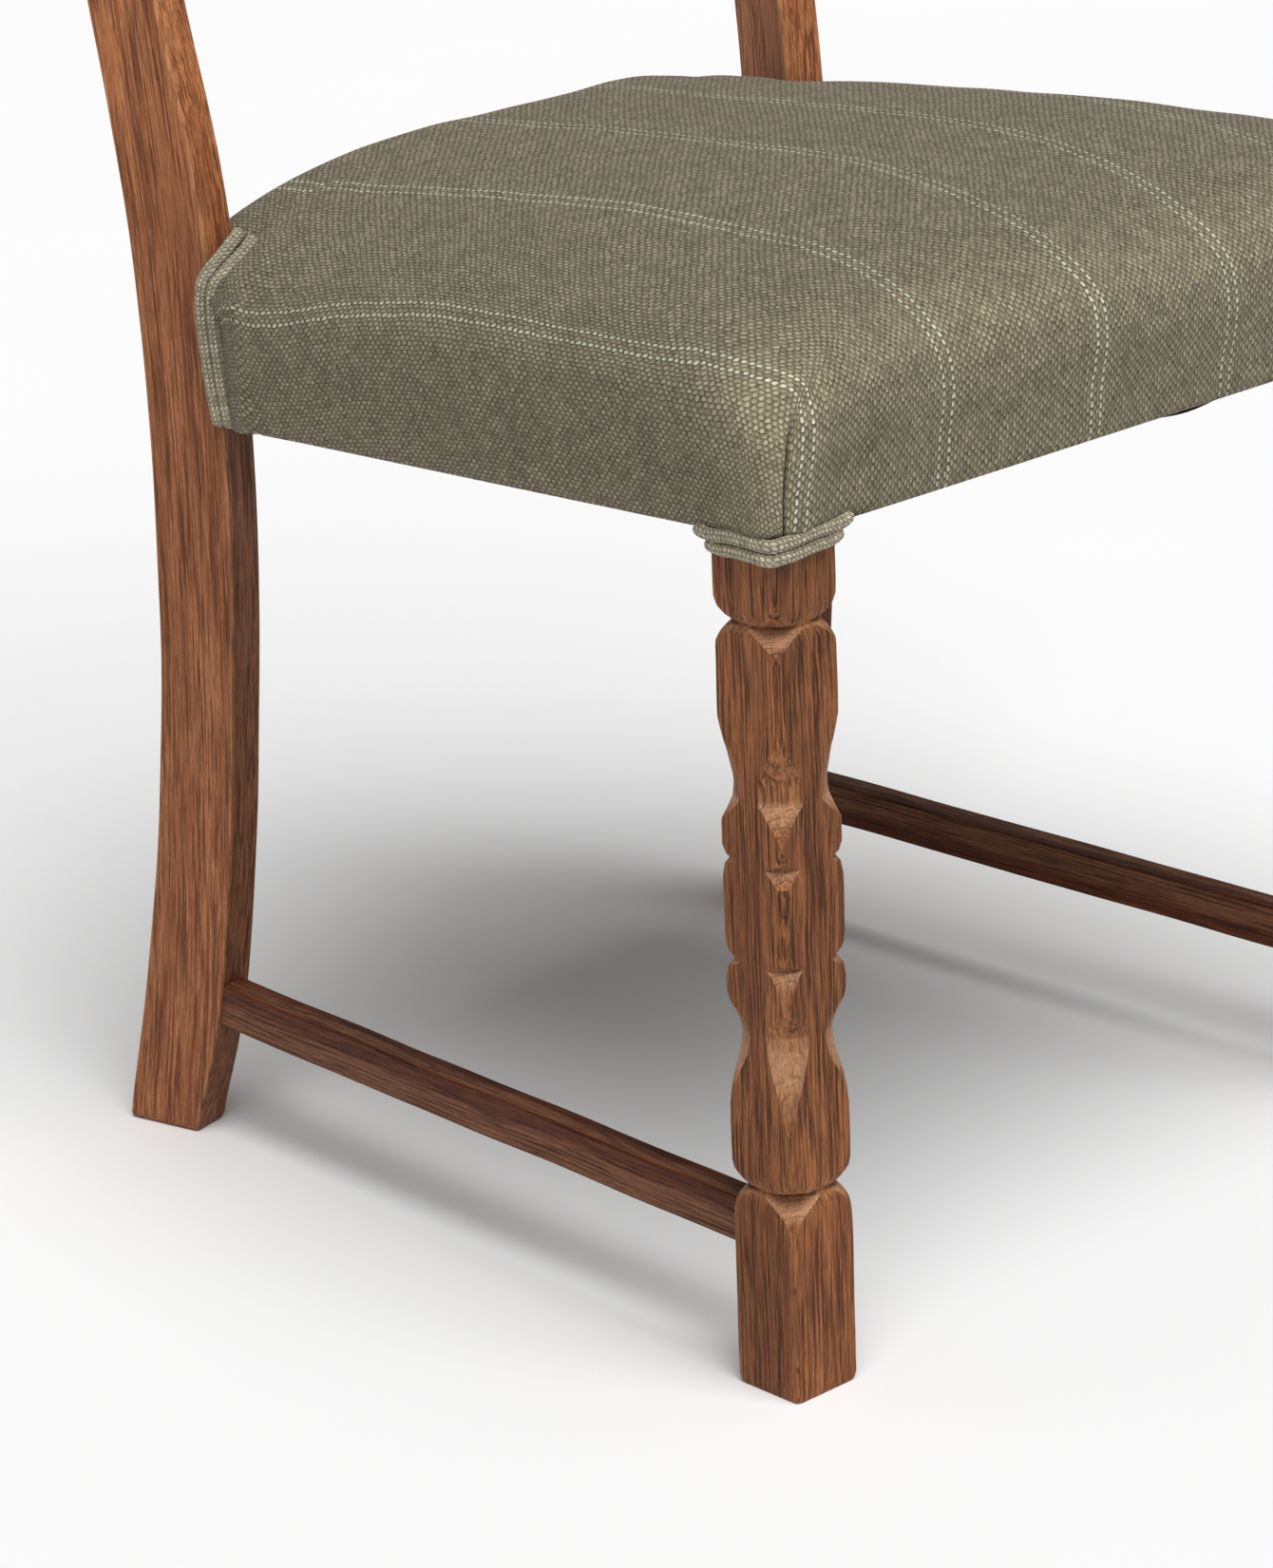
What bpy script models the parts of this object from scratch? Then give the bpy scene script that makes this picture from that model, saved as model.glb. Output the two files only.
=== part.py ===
"""Upholstered oak chair: carved front legs, curved rear posts with a bowed ladder back, and a stuffed seat.

Units are metres and +Z is up. The chair faces -Y. The pieces are laid out from the centre line (X = 0) and the
line through the front legs' centres (Y = 0); an empty then carries them all, so that the origin ends up on the
floor under the middle of the chair. Left is -X, and every right-hand piece is the mirror of its left one.
"""

import math

import bmesh
import bpy
from mathutils import Matrix, Vector

MM = 0.001

# Overall sizes
SEAT_UNDERSIDE = 387 * MM  # underside of the seat rails, at the front legs' centre line
LEG_SPREAD = 421 * MM  # between the front legs' centres
POST_HEIGHT = 920 * MM
FOOT_DEPTH = 409.3 * MM  # from the front legs' centres back to the rear feet's front corners
SEAT_FALL = 0.078  # how much the seat drops for each unit it goes back

# Clearances
GAP = 0.3 * MM  # between pieces that touch
SKIN_GAP = 1.6 * MM  # between the cover and the stuffing
POST_CLEARANCE = 1.2 * MM  # round the posts, for the cover and the stuffing

# Front legs
LEG_SIDE = 36 * MM
UNCUT = 0.1 * MM  # a corner that the carver only eased
# Where the carver cut the corners: share of the leg's height to the seat, depth of the cut at the corner
CARVING = (
    (0.0, 0.9 * MM), (0.008, UNCUT), (0.19, UNCUT), (0.213, 0.9 * MM), (0.231, 2.6 * MM),
    (0.242, 5.2 * MM), (0.254, 2.2 * MM), (0.269, UNCUT), (0.315, UNCUT), (0.36, 1.3 * MM),
    (0.395, 4.3 * MM), (0.421, 6.4 * MM), (0.436, 5.4 * MM), (0.457, 1.7 * MM), (0.469, UNCUT),
    (0.483, UNCUT), (0.497, 1.1 * MM), (0.508, 3.4 * MM), (0.519, 1.2 * MM), (0.535, UNCUT),
    (0.59, UNCUT), (0.61, 1.0 * MM), (0.623, 2.9 * MM), (0.636, 0.9 * MM), (0.648, UNCUT),
    (0.662, UNCUT), (0.683, 2.4 * MM), (0.7, 5.7 * MM), (0.715, 5.9 * MM), (0.74, 4.0 * MM),
    (0.77, 1.4 * MM), (0.8, UNCUT), (0.86, UNCUT), (0.877, 2.0 * MM), (0.891, 5.2 * MM),
    (0.903, 2.6 * MM), (0.921, 0.6 * MM), (0.94, UNCUT),
)
GROOVES = (0.242, 0.891)  # the two cuts that also go round the faces
GROOVE_DEPTH = 2.2 * MM
CUT_ROUNDNESS = 1.5  # 1 is a flat chamfer, more rounds the cut over onto the faces

# Rear posts, bent in a plane that is turned outwards
POST_THICKNESS = 21.4 * MM
POST_INSET = 20.6 * MM  # rear feet in from the front legs' outer faces
POST_TURN = math.radians(12.7)
# Side view: share of the seat's height, distance back from the foot's front corner
POST_FRONT = ((0.0, 0.0), (0.15, -17.5 * MM), (0.253, -24.8 * MM), (0.505, -36.6 * MM), (0.91, -44.4 * MM),
              (1.206, -36.4 * MM), (1.427, -20.1 * MM))
POST_BACK = ((0.0, 41 * MM), (0.231, 21.8 * MM), (0.478, 7.6 * MM), (0.775, 0.6 * MM), (1.08, 2.9 * MM),
             (1.284, 11.4 * MM), (1.419, 19.5 * MM))
LEAN_FRONT = 0.185  # lean of the straight upper part, back per unit of height
LEAN_BACK = 0.16
ARRIS = 1.6 * MM  # rounding of the posts' long edges
ARRIS_ANGLE = math.radians(40)  # edges sharper than this are rounded

# Seat frame
RAIL_HEIGHT = 46 * MM
RAIL_THICKNESS = 22 * MM
RAIL_SETBACK = 1 * MM  # rails in from the legs' outer faces
REAR_RAIL_THICKNESS = 20 * MM
REAR_RAIL_AHEAD = 17.3 * MM  # centre of the rear rail ahead of the rear feet's front corners
TENON_THICKNESS = 8 * MM
TENON_HEIGHT = 30 * MM
LEG_TENON = 17 * MM
POST_TENON = 13 * MM
POST_TENON_SHARE = 0.45  # centre of the side rail's tenon, in from the post's outer face
BLOCK_REACH = 42 * MM  # corner blocks along the rails
REAR_BLOCK_EXTRA = 8 * MM  # the rear blocks run further along the side rails
BLOCK_HEIGHT = 30 * MM

# Screws in the corner blocks
SCREW_RADIUS = 2 * MM
SCREW_HEAD_RADIUS = 4.2 * MM
SCREW_HEAD_HEIGHT = 2.6 * MM
SCREW_RIM = 0.6 * MM
SCREW_POINT = 3 * MM
SCREW_SIDES = 12
SCREW_BITE = 12 * MM  # into the rail
SCREW_GRIP = 10 * MM  # through the block
SCREW_PLACE = 0.45  # along the block's reach
SIDE_SCREW_PLACE = 0.6  # along a rear block's side
SCREW_LOW = 0.42  # share of the rail's height; the two screws of a block pass over each other
SCREW_HIGH = 0.62

# Side stretchers
STRETCHER_WIDTH = 14.3 * MM
STRETCHER_HEIGHT = 21 * MM
STRETCHER_TOP = 78.8 * MM
STRETCHER_HOUSING = 13 * MM  # how far each end is let into its leg
STRETCHER_INSET = 1.4 * MM  # in from the front leg's middle, and from the post's outer face

# Back slats: share of the posts' height at the lower edge's ends, height at the ends, rise of the middle
SLAT_THICKNESS = 14 * MM
SLAT_HOUSING = 12 * MM
SLATS = (
    ("lower_slat", 0.599, 44 * MM, 6 * MM, 8 * MM),
    ("middle_slat", 0.716, 44 * MM, 6 * MM, 8 * MM),
    ("crest_rail", 0.868, 78 * MM, 6 * MM, 24 * MM),
)

# Webbing and hessian
STRAP_WIDTH = 50 * MM
STRAP_THICKNESS = 1.6 * MM
STRAP_COUNT = 3
STRAP_LIFT = 2.6 * MM  # middle of the weave above the rails
STRAP_LAP = 0.6  # share of a side rail's thickness that a strap lies on
STRAP_MARGIN = 3 * MM  # strap ends in from the faces of the front and rear rails
STRAP_SNAP = 2.2  # how quickly a strap rises between one crossing and the next
HESSIAN_LIFT = 5.2 * MM
HESSIAN_THICKNESS = 1 * MM
HESSIAN_MARGIN = 3 * MM  # in from the rails' outer faces

# Seat stuffing and cover
COVER_THICKNESS = 1.3 * MM
COVER_PROUD = 12.5 * MM  # widest part of the cover, out from the legs' faces
FOAM_LIFT = 6.8 * MM  # underside of the foam above the rails
FOAM_BEVEL = 2 * MM  # how far the foam's underside draws in
FOAM_EDGE = 3 * MM  # least height of the foam's edge
REAR_COVER = -1.3 * MM  # back of the cover from the rear feet's front corners
CORNER_RADIUS = 11 * MM
BESIDE_POST = 8 * MM  # the cover's sides end this far outside the posts' front corners
AHEAD_OF_POST = 2 * MM
TUCK_SHARE = 0.6  # of a post's thickness: how far in the cover then runs along the post
TUCK_STEP = 6 * MM
# From the hem to the crown: distance in from the widest outline, share of the rails' height, height over that
CUSHION_PROFILE = (
    (6 * MM, 0, -1.5 * MM), (3.5 * MM, 0.5, -5 * MM), (0.5 * MM, 1, -10 * MM), (2.5 * MM, 1, 5 * MM),
    (12 * MM, 1, 17 * MM), (31 * MM, 1, 33 * MM), (60 * MM, 1, 46 * MM), (100 * MM, 1, 57 * MM),
    (140 * MM, 1, 63 * MM), (170 * MM, 1, 66 * MM),
)
CROWN_CENTRE = 330 * MM  # the crown is set towards the back of the seat
DUST_THICKNESS = 1.2 * MM
DUST_MARGIN = 6 * MM
SHEET_OFF_LEG = 1 * MM  # the flat sheets keep this far from the legs, and from the posts' sides and fronts
SHEET_OFF_POST = 2 * MM
SHEET_AHEAD = 8 * MM

# Double welts, each a pair of covered cords
CORD_RADIUS = 3 * MM
WELT_OVERHANG = 6 * MM  # past each side of a front leg
WELT_DROP = 1.9 * MM  # top of the front welts below the rails' underside
FRONT_WELT_BEND = 4 * MM
REAR_WELT_BEND = 5 * MM
REAR_WELT_BACK = 4.2 * MM  # middle of the pair behind the post's front edge
REAR_WELT_FOOT = 2 * MM  # over the rails' underside
REAR_WELT_TURN = 20 * MM  # over the rails' top, where the cords reach the post's front
REAR_WELT_TOP = 38 * MM  # over the rails' top, at the post's inner side
REAR_WELT_RUN = 8 * MM  # height over which a cord crosses the post's outer face
REAR_WELT_SPREAD = 1.8  # how far the cords part where they turn

# Fineness of the meshes
MERGE = 0.001 * MM
SMOOTH_ANGLE = math.radians(35)
STRAIGHT_ANGLE = math.radians(0.05)  # edges flatter than this are dissolved
CORNER_STEPS = 6
SIDE_STEPS = 5
BACK_STEPS = 4
BEND_STEPS = 4

# Derived places
OUTER_FACE = (LEG_SPREAD + LEG_SIDE) / 2
COVER_HALF = OUTER_FACE + COVER_PROUD
COVER_FRONT = -LEG_SIDE / 2 - COVER_PROUD
COVER_BACK = FOOT_DEPTH + REAR_COVER
FOOT_X = OUTER_FACE - POST_INSET
FOOT = Vector((-FOOT_X, FOOT_DEPTH, 0))
INWARD = Vector((math.cos(POST_TURN), math.sin(POST_TURN), 0))
BACKWARD = Vector((-math.sin(POST_TURN), math.cos(POST_TURN), 0))
SIDES = {"left": -1, "right": 1}

OAK = ("oak", (0.21, 0.085, 0.036), 0.5, 0.0)
DARK_OAK = ("dark_oak", (0.12, 0.043, 0.022), 0.5, 0.0)
FRAME_WOOD = ("frame_wood", (0.42, 0.27, 0.14), 0.7, 0.0)
STEEL = ("steel", (0.5, 0.5, 0.5), 0.35, 1.0)
JUTE = ("jute", (0.35, 0.25, 0.13), 0.9, 0.0)
FOAM = ("foam", (0.72, 0.66, 0.48), 0.9, 0.0)
TWEED = ("tweed", (0.225, 0.2, 0.144), 0.9, 0.0)
CAMBRIC = ("cambric", (0.02, 0.02, 0.022), 0.9, 0.0)


def clear_scene():
    for obj in list(bpy.data.objects):
        bpy.data.objects.remove(obj, do_unlink=True)


def new_collection(name, helpers=False):
    collection = bpy.data.collections.new(name)
    bpy.context.scene.collection.children.link(collection)
    collection.hide_render = helpers
    return collection


def material(finish):
    name, colour, roughness, metallic = finish
    found = bpy.data.materials.get(name)
    if found:
        return found
    made = bpy.data.materials.new(name)
    made.use_nodes = True
    shader = made.node_tree.nodes["Principled BSDF"]
    shader.inputs["Base Color"].default_value = (*colour, 1)
    shader.inputs["Roughness"].default_value = roughness
    shader.inputs["Metallic"].default_value = metallic
    made.diffuse_color = (*colour, 1)
    return made


def piece(name, mesh, finish, side=-1, smooth=False):
    """Puts a bmesh in the scene, mirrored for the right-hand side. Without a finish it is a hidden cutter."""
    data = bpy.data.meshes.new(name)
    if side > 0:
        bmesh.ops.scale(mesh, vec=(-1, 1, 1), verts=mesh.verts)
        bmesh.ops.reverse_faces(mesh, faces=mesh.faces)
    mesh.to_mesh(data)
    mesh.free()
    obj = bpy.data.objects.new(name, data)
    obj.parent = CHAIR
    if finish:
        PARTS.objects.link(obj)
        data.materials.append(material(finish))
        if smooth:
            data.shade_smooth()
            data.set_sharp_from_angle(angle=SMOOTH_ANGLE)
    else:
        HELPERS.objects.link(obj)
        obj.hide_render = True
        obj.display_type = "WIRE"
    return obj


def boolean(obj, other, operation="DIFFERENCE"):
    modifier = obj.modifiers.new(f"{operation.lower()} {other.name}", "BOOLEAN")
    modifier.operation = operation
    modifier.object = other


def seat_plane(y, height=0.0):
    """Height of the seat frame's sloping plane at y, from the rails' underside."""
    return SEAT_UNDERSIDE - SEAT_FALL * y + height


def bar(start, end, width, height, grow=0.0):
    """A straight bar between two centre points, level across, with its height square to its length."""
    start, end = Vector(start), Vector(end)
    along = (end - start).normalized()
    across = Vector((0, 0, 1)).cross(along).normalized()
    up = along.cross(across)
    turn = Matrix((along, across, up)).transposed().to_4x4()
    size = Vector(((end - start).length + 2 * grow, width + 2 * grow, height + 2 * grow))
    place = Matrix.Translation((start + end) / 2) @ turn @ Matrix.Diagonal((*size, 1))
    mesh = bmesh.new()
    bmesh.ops.create_cube(mesh, size=1, matrix=place)
    return mesh


def prism(outline, bottom, top):
    """An upright solid on a plan outline; bottom and top are heights over the seat plane at each point."""
    mesh = bmesh.new()
    face = mesh.faces.new([mesh.verts.new((x, y, seat_plane(y, bottom))) for x, y in outline])
    raised = bmesh.ops.extrude_face_region(mesh, geom=[face])["geom"]
    corners = [item for item in raised if isinstance(item, bmesh.types.BMVert)]
    bmesh.ops.translate(mesh, vec=(0, 0, top - bottom), verts=corners)
    bmesh.ops.recalc_face_normals(mesh, faces=mesh.faces)
    return mesh


def loft(sections, capped=True):
    """Joins closed sections of equal point count with quads, and closes both ends when capped."""
    mesh = bmesh.new()
    rings = [[mesh.verts.new(point) for point in section] for section in sections]
    count = len(rings[0])
    for lower, upper in zip(rings, rings[1:]):
        for i in range(count):
            j = (i + 1) % count
            mesh.faces.new((lower[i], lower[j], upper[j], upper[i]))
    if capped:
        mesh.faces.new(reversed(rings[0]))
        mesh.faces.new(rings[-1])
    bmesh.ops.recalc_face_normals(mesh, faces=mesh.faces)
    return mesh


# --- front legs

def leg_section(height, cut, inset):
    """Plan of a front leg at one height: a square whose corners are cut and rounded."""
    half = LEG_SIDE / 2 - inset
    reach = cut * math.sqrt(2) * CUT_ROUNDNESS
    corner = half - cut / math.sqrt(2)
    points = []
    for sx, sy in ((1, 1), (-1, 1), (-1, -1), (1, -1)):
        on_x = (sx * half, sy * (half - reach))
        on_y = (sx * (half - reach), sy * half)
        middle = (sx * corner, sy * corner)
        points += [on_x, middle, on_y] if sx * sy > 0 else [on_y, middle, on_x]
    return [(x - LEG_SPREAD / 2, y, height) for x, y in points]


def front_leg(side_name, side):
    sections = []
    for share, cut in CARVING:
        inset = GROOVE_DEPTH if share in GROOVES else 0.0
        sections.append(leg_section(share * SEAT_UNDERSIDE, cut, inset))
    sections.append(leg_section(SEAT_UNDERSIDE + RAIL_HEIGHT, UNCUT, 0.0))
    return piece(f"front_leg_{side_name}", loft(sections), OAK, side)


# --- rear posts

def post_edge(share_points, lean):
    """Side-view points of one edge of a post, with its straight upper part run up to the full height."""
    points = [(back, share * SEAT_UNDERSIDE) for share, back in share_points]
    back, height = points[-1]
    return points + [(back + lean * (POST_HEIGHT - height), POST_HEIGHT)]


def edge_at(points, height):
    """Distance back of a post's edge at a height, straight between its points."""
    for (b0, z0), (b1, z1) in zip(points, points[1:]):
        if z0 <= height <= z1:
            return b0 + (b1 - b0) * (height - z0) / (z1 - z0)
    return points[-1][0]


def post_point(back, inward, height):
    return FOOT + BACKWARD * back + INWARD * inward + Vector((0, 0, height))


def post_outline():
    """The side view as a curve: smooth edges, square foot, square top."""
    front = post_edge(POST_FRONT, LEAN_FRONT)
    rear = post_edge(POST_BACK, LEAN_BACK)
    data = bpy.data.curves.new("post_outline", "CURVE")
    data.dimensions = "2D"
    data.fill_mode = "BOTH"
    data.extrude = POST_THICKNESS / 2
    data.resolution_u = 5
    spline = data.splines.new("BEZIER")
    points = front + rear[::-1]
    spline.bezier_points.add(len(points) - 1)
    for i, (knot, (back, height)) in enumerate(zip(spline.bezier_points, points)):
        knot.co = (back, height, 0)
        knot.handle_left_type = knot.handle_right_type = "AUTO"
        if i in (0, len(points) - 1):
            knot.handle_left_type = knot.handle_right_type = "VECTOR"
        if i in (len(front) - 1, len(front)):
            knot.handle_left_type = knot.handle_right_type = "VECTOR"
    spline.use_cyclic_u = True
    return data


def post_mesh():
    """The post as a mesh, stood up from its side view at the left rear foot."""
    guide = bpy.data.objects.new("post_outline", post_outline())
    HELPERS.objects.link(guide)
    bpy.context.view_layer.update()
    data = bpy.data.meshes.new_from_object(guide.evaluated_get(bpy.context.evaluated_depsgraph_get()))
    bpy.data.objects.remove(guide)
    mesh = bmesh.new()
    mesh.from_mesh(data)
    bmesh.ops.remove_doubles(mesh, verts=mesh.verts, dist=MERGE)
    bmesh.ops.dissolve_limit(mesh, angle_limit=STRAIGHT_ANGLE, verts=mesh.verts, edges=mesh.edges)
    place = Matrix((BACKWARD, Vector((0, 0, 1)), INWARD)).transposed().to_4x4()
    place.translation = FOOT + INWARD * POST_THICKNESS / 2
    bmesh.ops.transform(mesh, matrix=place, verts=mesh.verts)
    bmesh.ops.recalc_face_normals(mesh, faces=mesh.faces)
    return mesh


def rear_post(side_name, side):
    obj = piece(f"rear_leg_{side_name}", post_mesh(), OAK, side, smooth=True)
    rounding = obj.modifiers.new("arris", "BEVEL")
    rounding.width = ARRIS
    rounding.segments = 2
    rounding.limit_method = "ANGLE"
    rounding.angle_limit = ARRIS_ANGLE
    return obj


# --- stretchers

def stretcher(side_name, side, front, rear):
    """A bar from the middle of the front leg to the post's front face, with both ends housed in the wood."""
    middle = STRETCHER_TOP - STRETCHER_HEIGHT / 2
    at_post = edge_at(post_edge(POST_FRONT, LEAN_FRONT), middle)
    start = Vector((-LEG_SPREAD / 2 + STRETCHER_INSET, LEG_SIDE / 2, middle))
    end = post_point(at_post, STRETCHER_INSET + STRETCHER_WIDTH / 2, middle)
    along = (end - start).normalized()
    ends = (start - along * STRETCHER_HOUSING, end + along * STRETCHER_HOUSING)
    name = f"side_stretcher_{side_name}"
    piece(name, bar(*ends, STRETCHER_WIDTH, STRETCHER_HEIGHT), DARK_OAK, side)
    housing = piece(f"{name}_housing", bar(*ends, STRETCHER_WIDTH, STRETCHER_HEIGHT, GAP), None, side)
    boolean(front, housing)
    boolean(rear, housing)


# --- seat frame

def tenon(rail, leg, start, end, side):
    """A tenon on the end of a rail, and its mortise in the leg."""
    name = f"{rail.name}_in_{leg.name}"
    boolean(rail, piece(name, bar(start, end, TENON_THICKNESS, TENON_HEIGHT), None, side), "UNION")
    boolean(leg, piece(f"{name}_mortise", bar(start, end, TENON_THICKNESS, TENON_HEIGHT, GAP), None, side))


def side_rail_face(offset=0.0):
    """Start and end of the side rail's plan line: its outer face, moved inwards by offset."""
    height = seat_plane(FOOT_DEPTH, RAIL_HEIGHT / 2)
    post_face = edge_at(post_edge(POST_FRONT, LEAN_FRONT), height)
    start = Vector((-OUTER_FACE + RAIL_SETBACK, 0, 0))
    corner = post_point(post_face, RAIL_SETBACK, 0)
    along = (corner - start).normalized()
    inward = Vector((along.y, -along.x, 0))
    return start + inward * offset, corner + inward * offset


def rail_x(y, offset):
    """X of the side rail's face at y, offset inwards from its outer face."""
    start, end = side_rail_face(offset)
    return start.x + (end.x - start.x) * (y - start.y) / (end.y - start.y)


def on_seat(point, height):
    return Vector((point.x, point.y, seat_plane(point.y, height)))


def crossing(point, along, face_point, face_normal):
    """Where a line in plan meets a face."""
    return point + along * ((face_point - point).dot(face_normal) / along.dot(face_normal))


def side_rail(side_name, side, leg, post):
    middle = RAIL_HEIGHT / 2
    leg_back = LEG_SIDE / 2 + GAP
    post_front = post_edge(POST_FRONT, LEAN_FRONT)
    heights = [seat_plane(FOOT_DEPTH, share * RAIL_HEIGHT) for share in (0, 0.5, 1)]
    post_face = min(edge_at(post_front, height) for height in heights) - 2 * GAP
    outline = []
    for offset in (0, RAIL_THICKNESS):
        start, end = side_rail_face(offset)
        at_post = crossing(start, end - start, post_point(post_face, 0, 0), BACKWARD)
        outline.append(((rail_x(leg_back, offset), leg_back), (at_post.x, at_post.y)))
    (outer_front, outer_rear), (inner_front, inner_rear) = outline
    mesh = prism((outer_front, inner_front, inner_rear, outer_rear), 0, RAIL_HEIGHT)
    rail = piece(f"side_rail_{side_name}", mesh, FRAME_WOOD, side)
    centre_x = rail_x(LEG_SIDE, RAIL_THICKNESS / 2)
    front_start = on_seat(Vector((centre_x, LEG_SIDE / 2 + LEG_TENON, 0)), middle)
    front_end = on_seat(Vector((centre_x, LEG_SIDE / 2 - LEG_TENON, 0)), middle)
    tenon(rail, leg, front_start, front_end, side)
    centre = POST_THICKNESS * POST_TENON_SHARE
    post_start = post_point(post_face - POST_TENON, centre, 0)
    post_end = post_point(post_face + POST_TENON, centre, 0)
    tenon(rail, post, on_seat(post_start, middle), on_seat(post_end, middle), side)
    return rail


def front_rail(legs):
    front = -LEG_SIDE / 2 + RAIL_SETBACK
    back = front + RAIL_THICKNESS
    inner = (LEG_SPREAD - LEG_SIDE) / 2
    end = inner - GAP
    mesh = prism(((-end, front), (end, front), (end, back), (-end, back)), 0, RAIL_HEIGHT)
    rail = piece("front_rail", mesh, FRAME_WOOD)
    y = (front + back) / 2
    z = seat_plane(y, RAIL_HEIGHT / 2)
    for side_name, side in SIDES.items():
        tenon(rail, legs[side_name], (-inner + LEG_TENON, y, z), (-inner - LEG_TENON, y, z), side)
    return rail


def rear_rail(posts):
    middle = FOOT_DEPTH - REAR_RAIL_AHEAD
    face = post_point(0, POST_THICKNESS + GAP, 0)
    across = Vector((1, 0, 0))
    ends = []
    for y in (middle - REAR_RAIL_THICKNESS / 2, middle + REAR_RAIL_THICKNESS / 2):
        ends.append(crossing(Vector((0, y, 0)), across, face, INWARD))
    front, back = ends
    outline = ((front.x, front.y), (-front.x, front.y), (-back.x, back.y), (back.x, back.y))
    rail = piece("rear_rail", prism(outline, 0, RAIL_HEIGHT), FRAME_WOOD)
    end = on_seat((front + back) / 2, RAIL_HEIGHT / 2)
    for side_name, side in SIDES.items():
        tenon(rail, posts[side_name], end + INWARD * POST_TENON, end - INWARD * POST_TENON, side)
    return rail


def screw_profile(grow=0.0, head_rise=0.0):
    """Half section of a countersunk screw, from the top of its head down to the point."""
    head = SCREW_HEAD_RADIUS + grow
    shank = SCREW_RADIUS + grow
    tip = -(SCREW_GRIP + SCREW_BITE) - grow
    return ((0, head_rise + grow), (head, head_rise + grow), (head, -SCREW_RIM), (shank, -SCREW_HEAD_HEIGHT),
            (shank, tip + SCREW_POINT), (0, tip))


def turned(profile):
    """A solid of revolution about Z from a profile that runs from the top of the axis to its foot."""
    mesh = bmesh.new()
    verts = [mesh.verts.new((x, 0, z)) for x, z in profile]
    edges = [mesh.edges.new(pair) for pair in zip(verts, verts[1:])]
    bmesh.ops.spin(mesh, geom=verts + edges, axis=(0, 0, 1), cent=(0, 0, 0), angle=2 * math.pi, steps=SCREW_SIDES)
    bmesh.ops.remove_doubles(mesh, verts=mesh.verts, dist=MERGE)
    bmesh.ops.recalc_face_normals(mesh, faces=mesh.faces)
    return mesh


def screw(name, seat, into, block, rail, side):
    """A screw whose head sits on seat and whose shank runs along into, through the block and into the rail."""
    place = Matrix.Translation(seat) @ (-into).to_track_quat("Z", "Y").to_matrix().to_4x4()
    shapes = (turned(screw_profile()), turned(screw_profile(GAP, BLOCK_REACH)))
    for mesh in shapes:
        bmesh.ops.transform(mesh, matrix=place, verts=mesh.verts)
    piece(name, shapes[0], STEEL, side, smooth=True)
    hole = piece(f"{name}_hole", shapes[1], None, side)
    boolean(block, hole)
    boolean(rail, hole)


def corner_block(name, outline, side):
    bottom = (RAIL_HEIGHT - BLOCK_HEIGHT) / 2
    return piece(name, prism(outline, bottom, bottom + BLOCK_HEIGHT), FRAME_WOOD, side)


def side_outward():
    """Square to the side rail's outer face, in plan."""
    start, end = side_rail_face()
    return Vector((start.y - end.y, end.x - start.x, 0)).normalized()


def front_block(side_name, side, rails):
    """Corner block behind a front leg, notched round the leg's corner."""
    rail_back = -LEG_SIDE / 2 + RAIL_SETBACK + RAIL_THICKNESS + GAP
    leg_back = LEG_SIDE / 2 + GAP
    leg_in = -(LEG_SPREAD - LEG_SIDE) / 2 + GAP
    inner = RAIL_THICKNESS + GAP
    far = leg_back + BLOCK_REACH
    outline = ((leg_in, rail_back), (leg_in + BLOCK_REACH, rail_back), (rail_x(far, inner), far),
               (rail_x(leg_back, inner), leg_back), (leg_in, leg_back))
    block = corner_block(f"front_corner_block_{side_name}", outline, side)
    x = leg_in + BLOCK_REACH * SCREW_PLACE
    to_front = Vector((x, rail_back + SCREW_GRIP, seat_plane(rail_back, RAIL_HEIGHT * SCREW_LOW)))
    y = leg_back + BLOCK_REACH * SCREW_PLACE
    to_side = Vector((rail_x(y, inner + SCREW_GRIP), y, seat_plane(y, RAIL_HEIGHT * SCREW_HIGH)))
    screw(f"front_block_screw_{side_name}_a", to_front, Vector((0, -1, 0)), block, rails["front"], side)
    screw(f"front_block_screw_{side_name}_b", to_side, side_outward(), block, rails[side_name], side)


def rear_block(side_name, side, rails):
    """Corner block between a side rail and the rear rail."""
    inner = RAIL_THICKNESS + GAP
    rail_front = FOOT_DEPTH - REAR_RAIL_AHEAD - REAR_RAIL_THICKNESS / 2 - GAP
    post_corner = post_point(edge_at(post_edge(POST_FRONT, LEAN_FRONT), seat_plane(rail_front)), POST_THICKNESS, 0)
    corner_x = max(rail_x(rail_front, inner), post_corner.x + GAP)
    near = rail_front - BLOCK_REACH - REAR_BLOCK_EXTRA
    outline = ((rail_x(near, inner), near), (corner_x + BLOCK_REACH, rail_front), (corner_x, rail_front),
               (corner_x, post_corner.y))
    block = corner_block(f"rear_corner_block_{side_name}", outline, side)
    x = corner_x + BLOCK_REACH * SCREW_PLACE
    to_rear = Vector((x, rail_front - SCREW_GRIP, seat_plane(rail_front, RAIL_HEIGHT * SCREW_LOW)))
    y = near + BLOCK_REACH * SIDE_SCREW_PLACE
    to_side = Vector((rail_x(y, inner + SCREW_GRIP), y, seat_plane(y, RAIL_HEIGHT * SCREW_HIGH)))
    screw(f"rear_block_screw_{side_name}_a", to_rear, Vector((0, 1, 0)), block, rails["rear"], side)
    screw(f"rear_block_screw_{side_name}_b", to_side, side_outward(), block, rails[side_name], side)


# --- back

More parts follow.
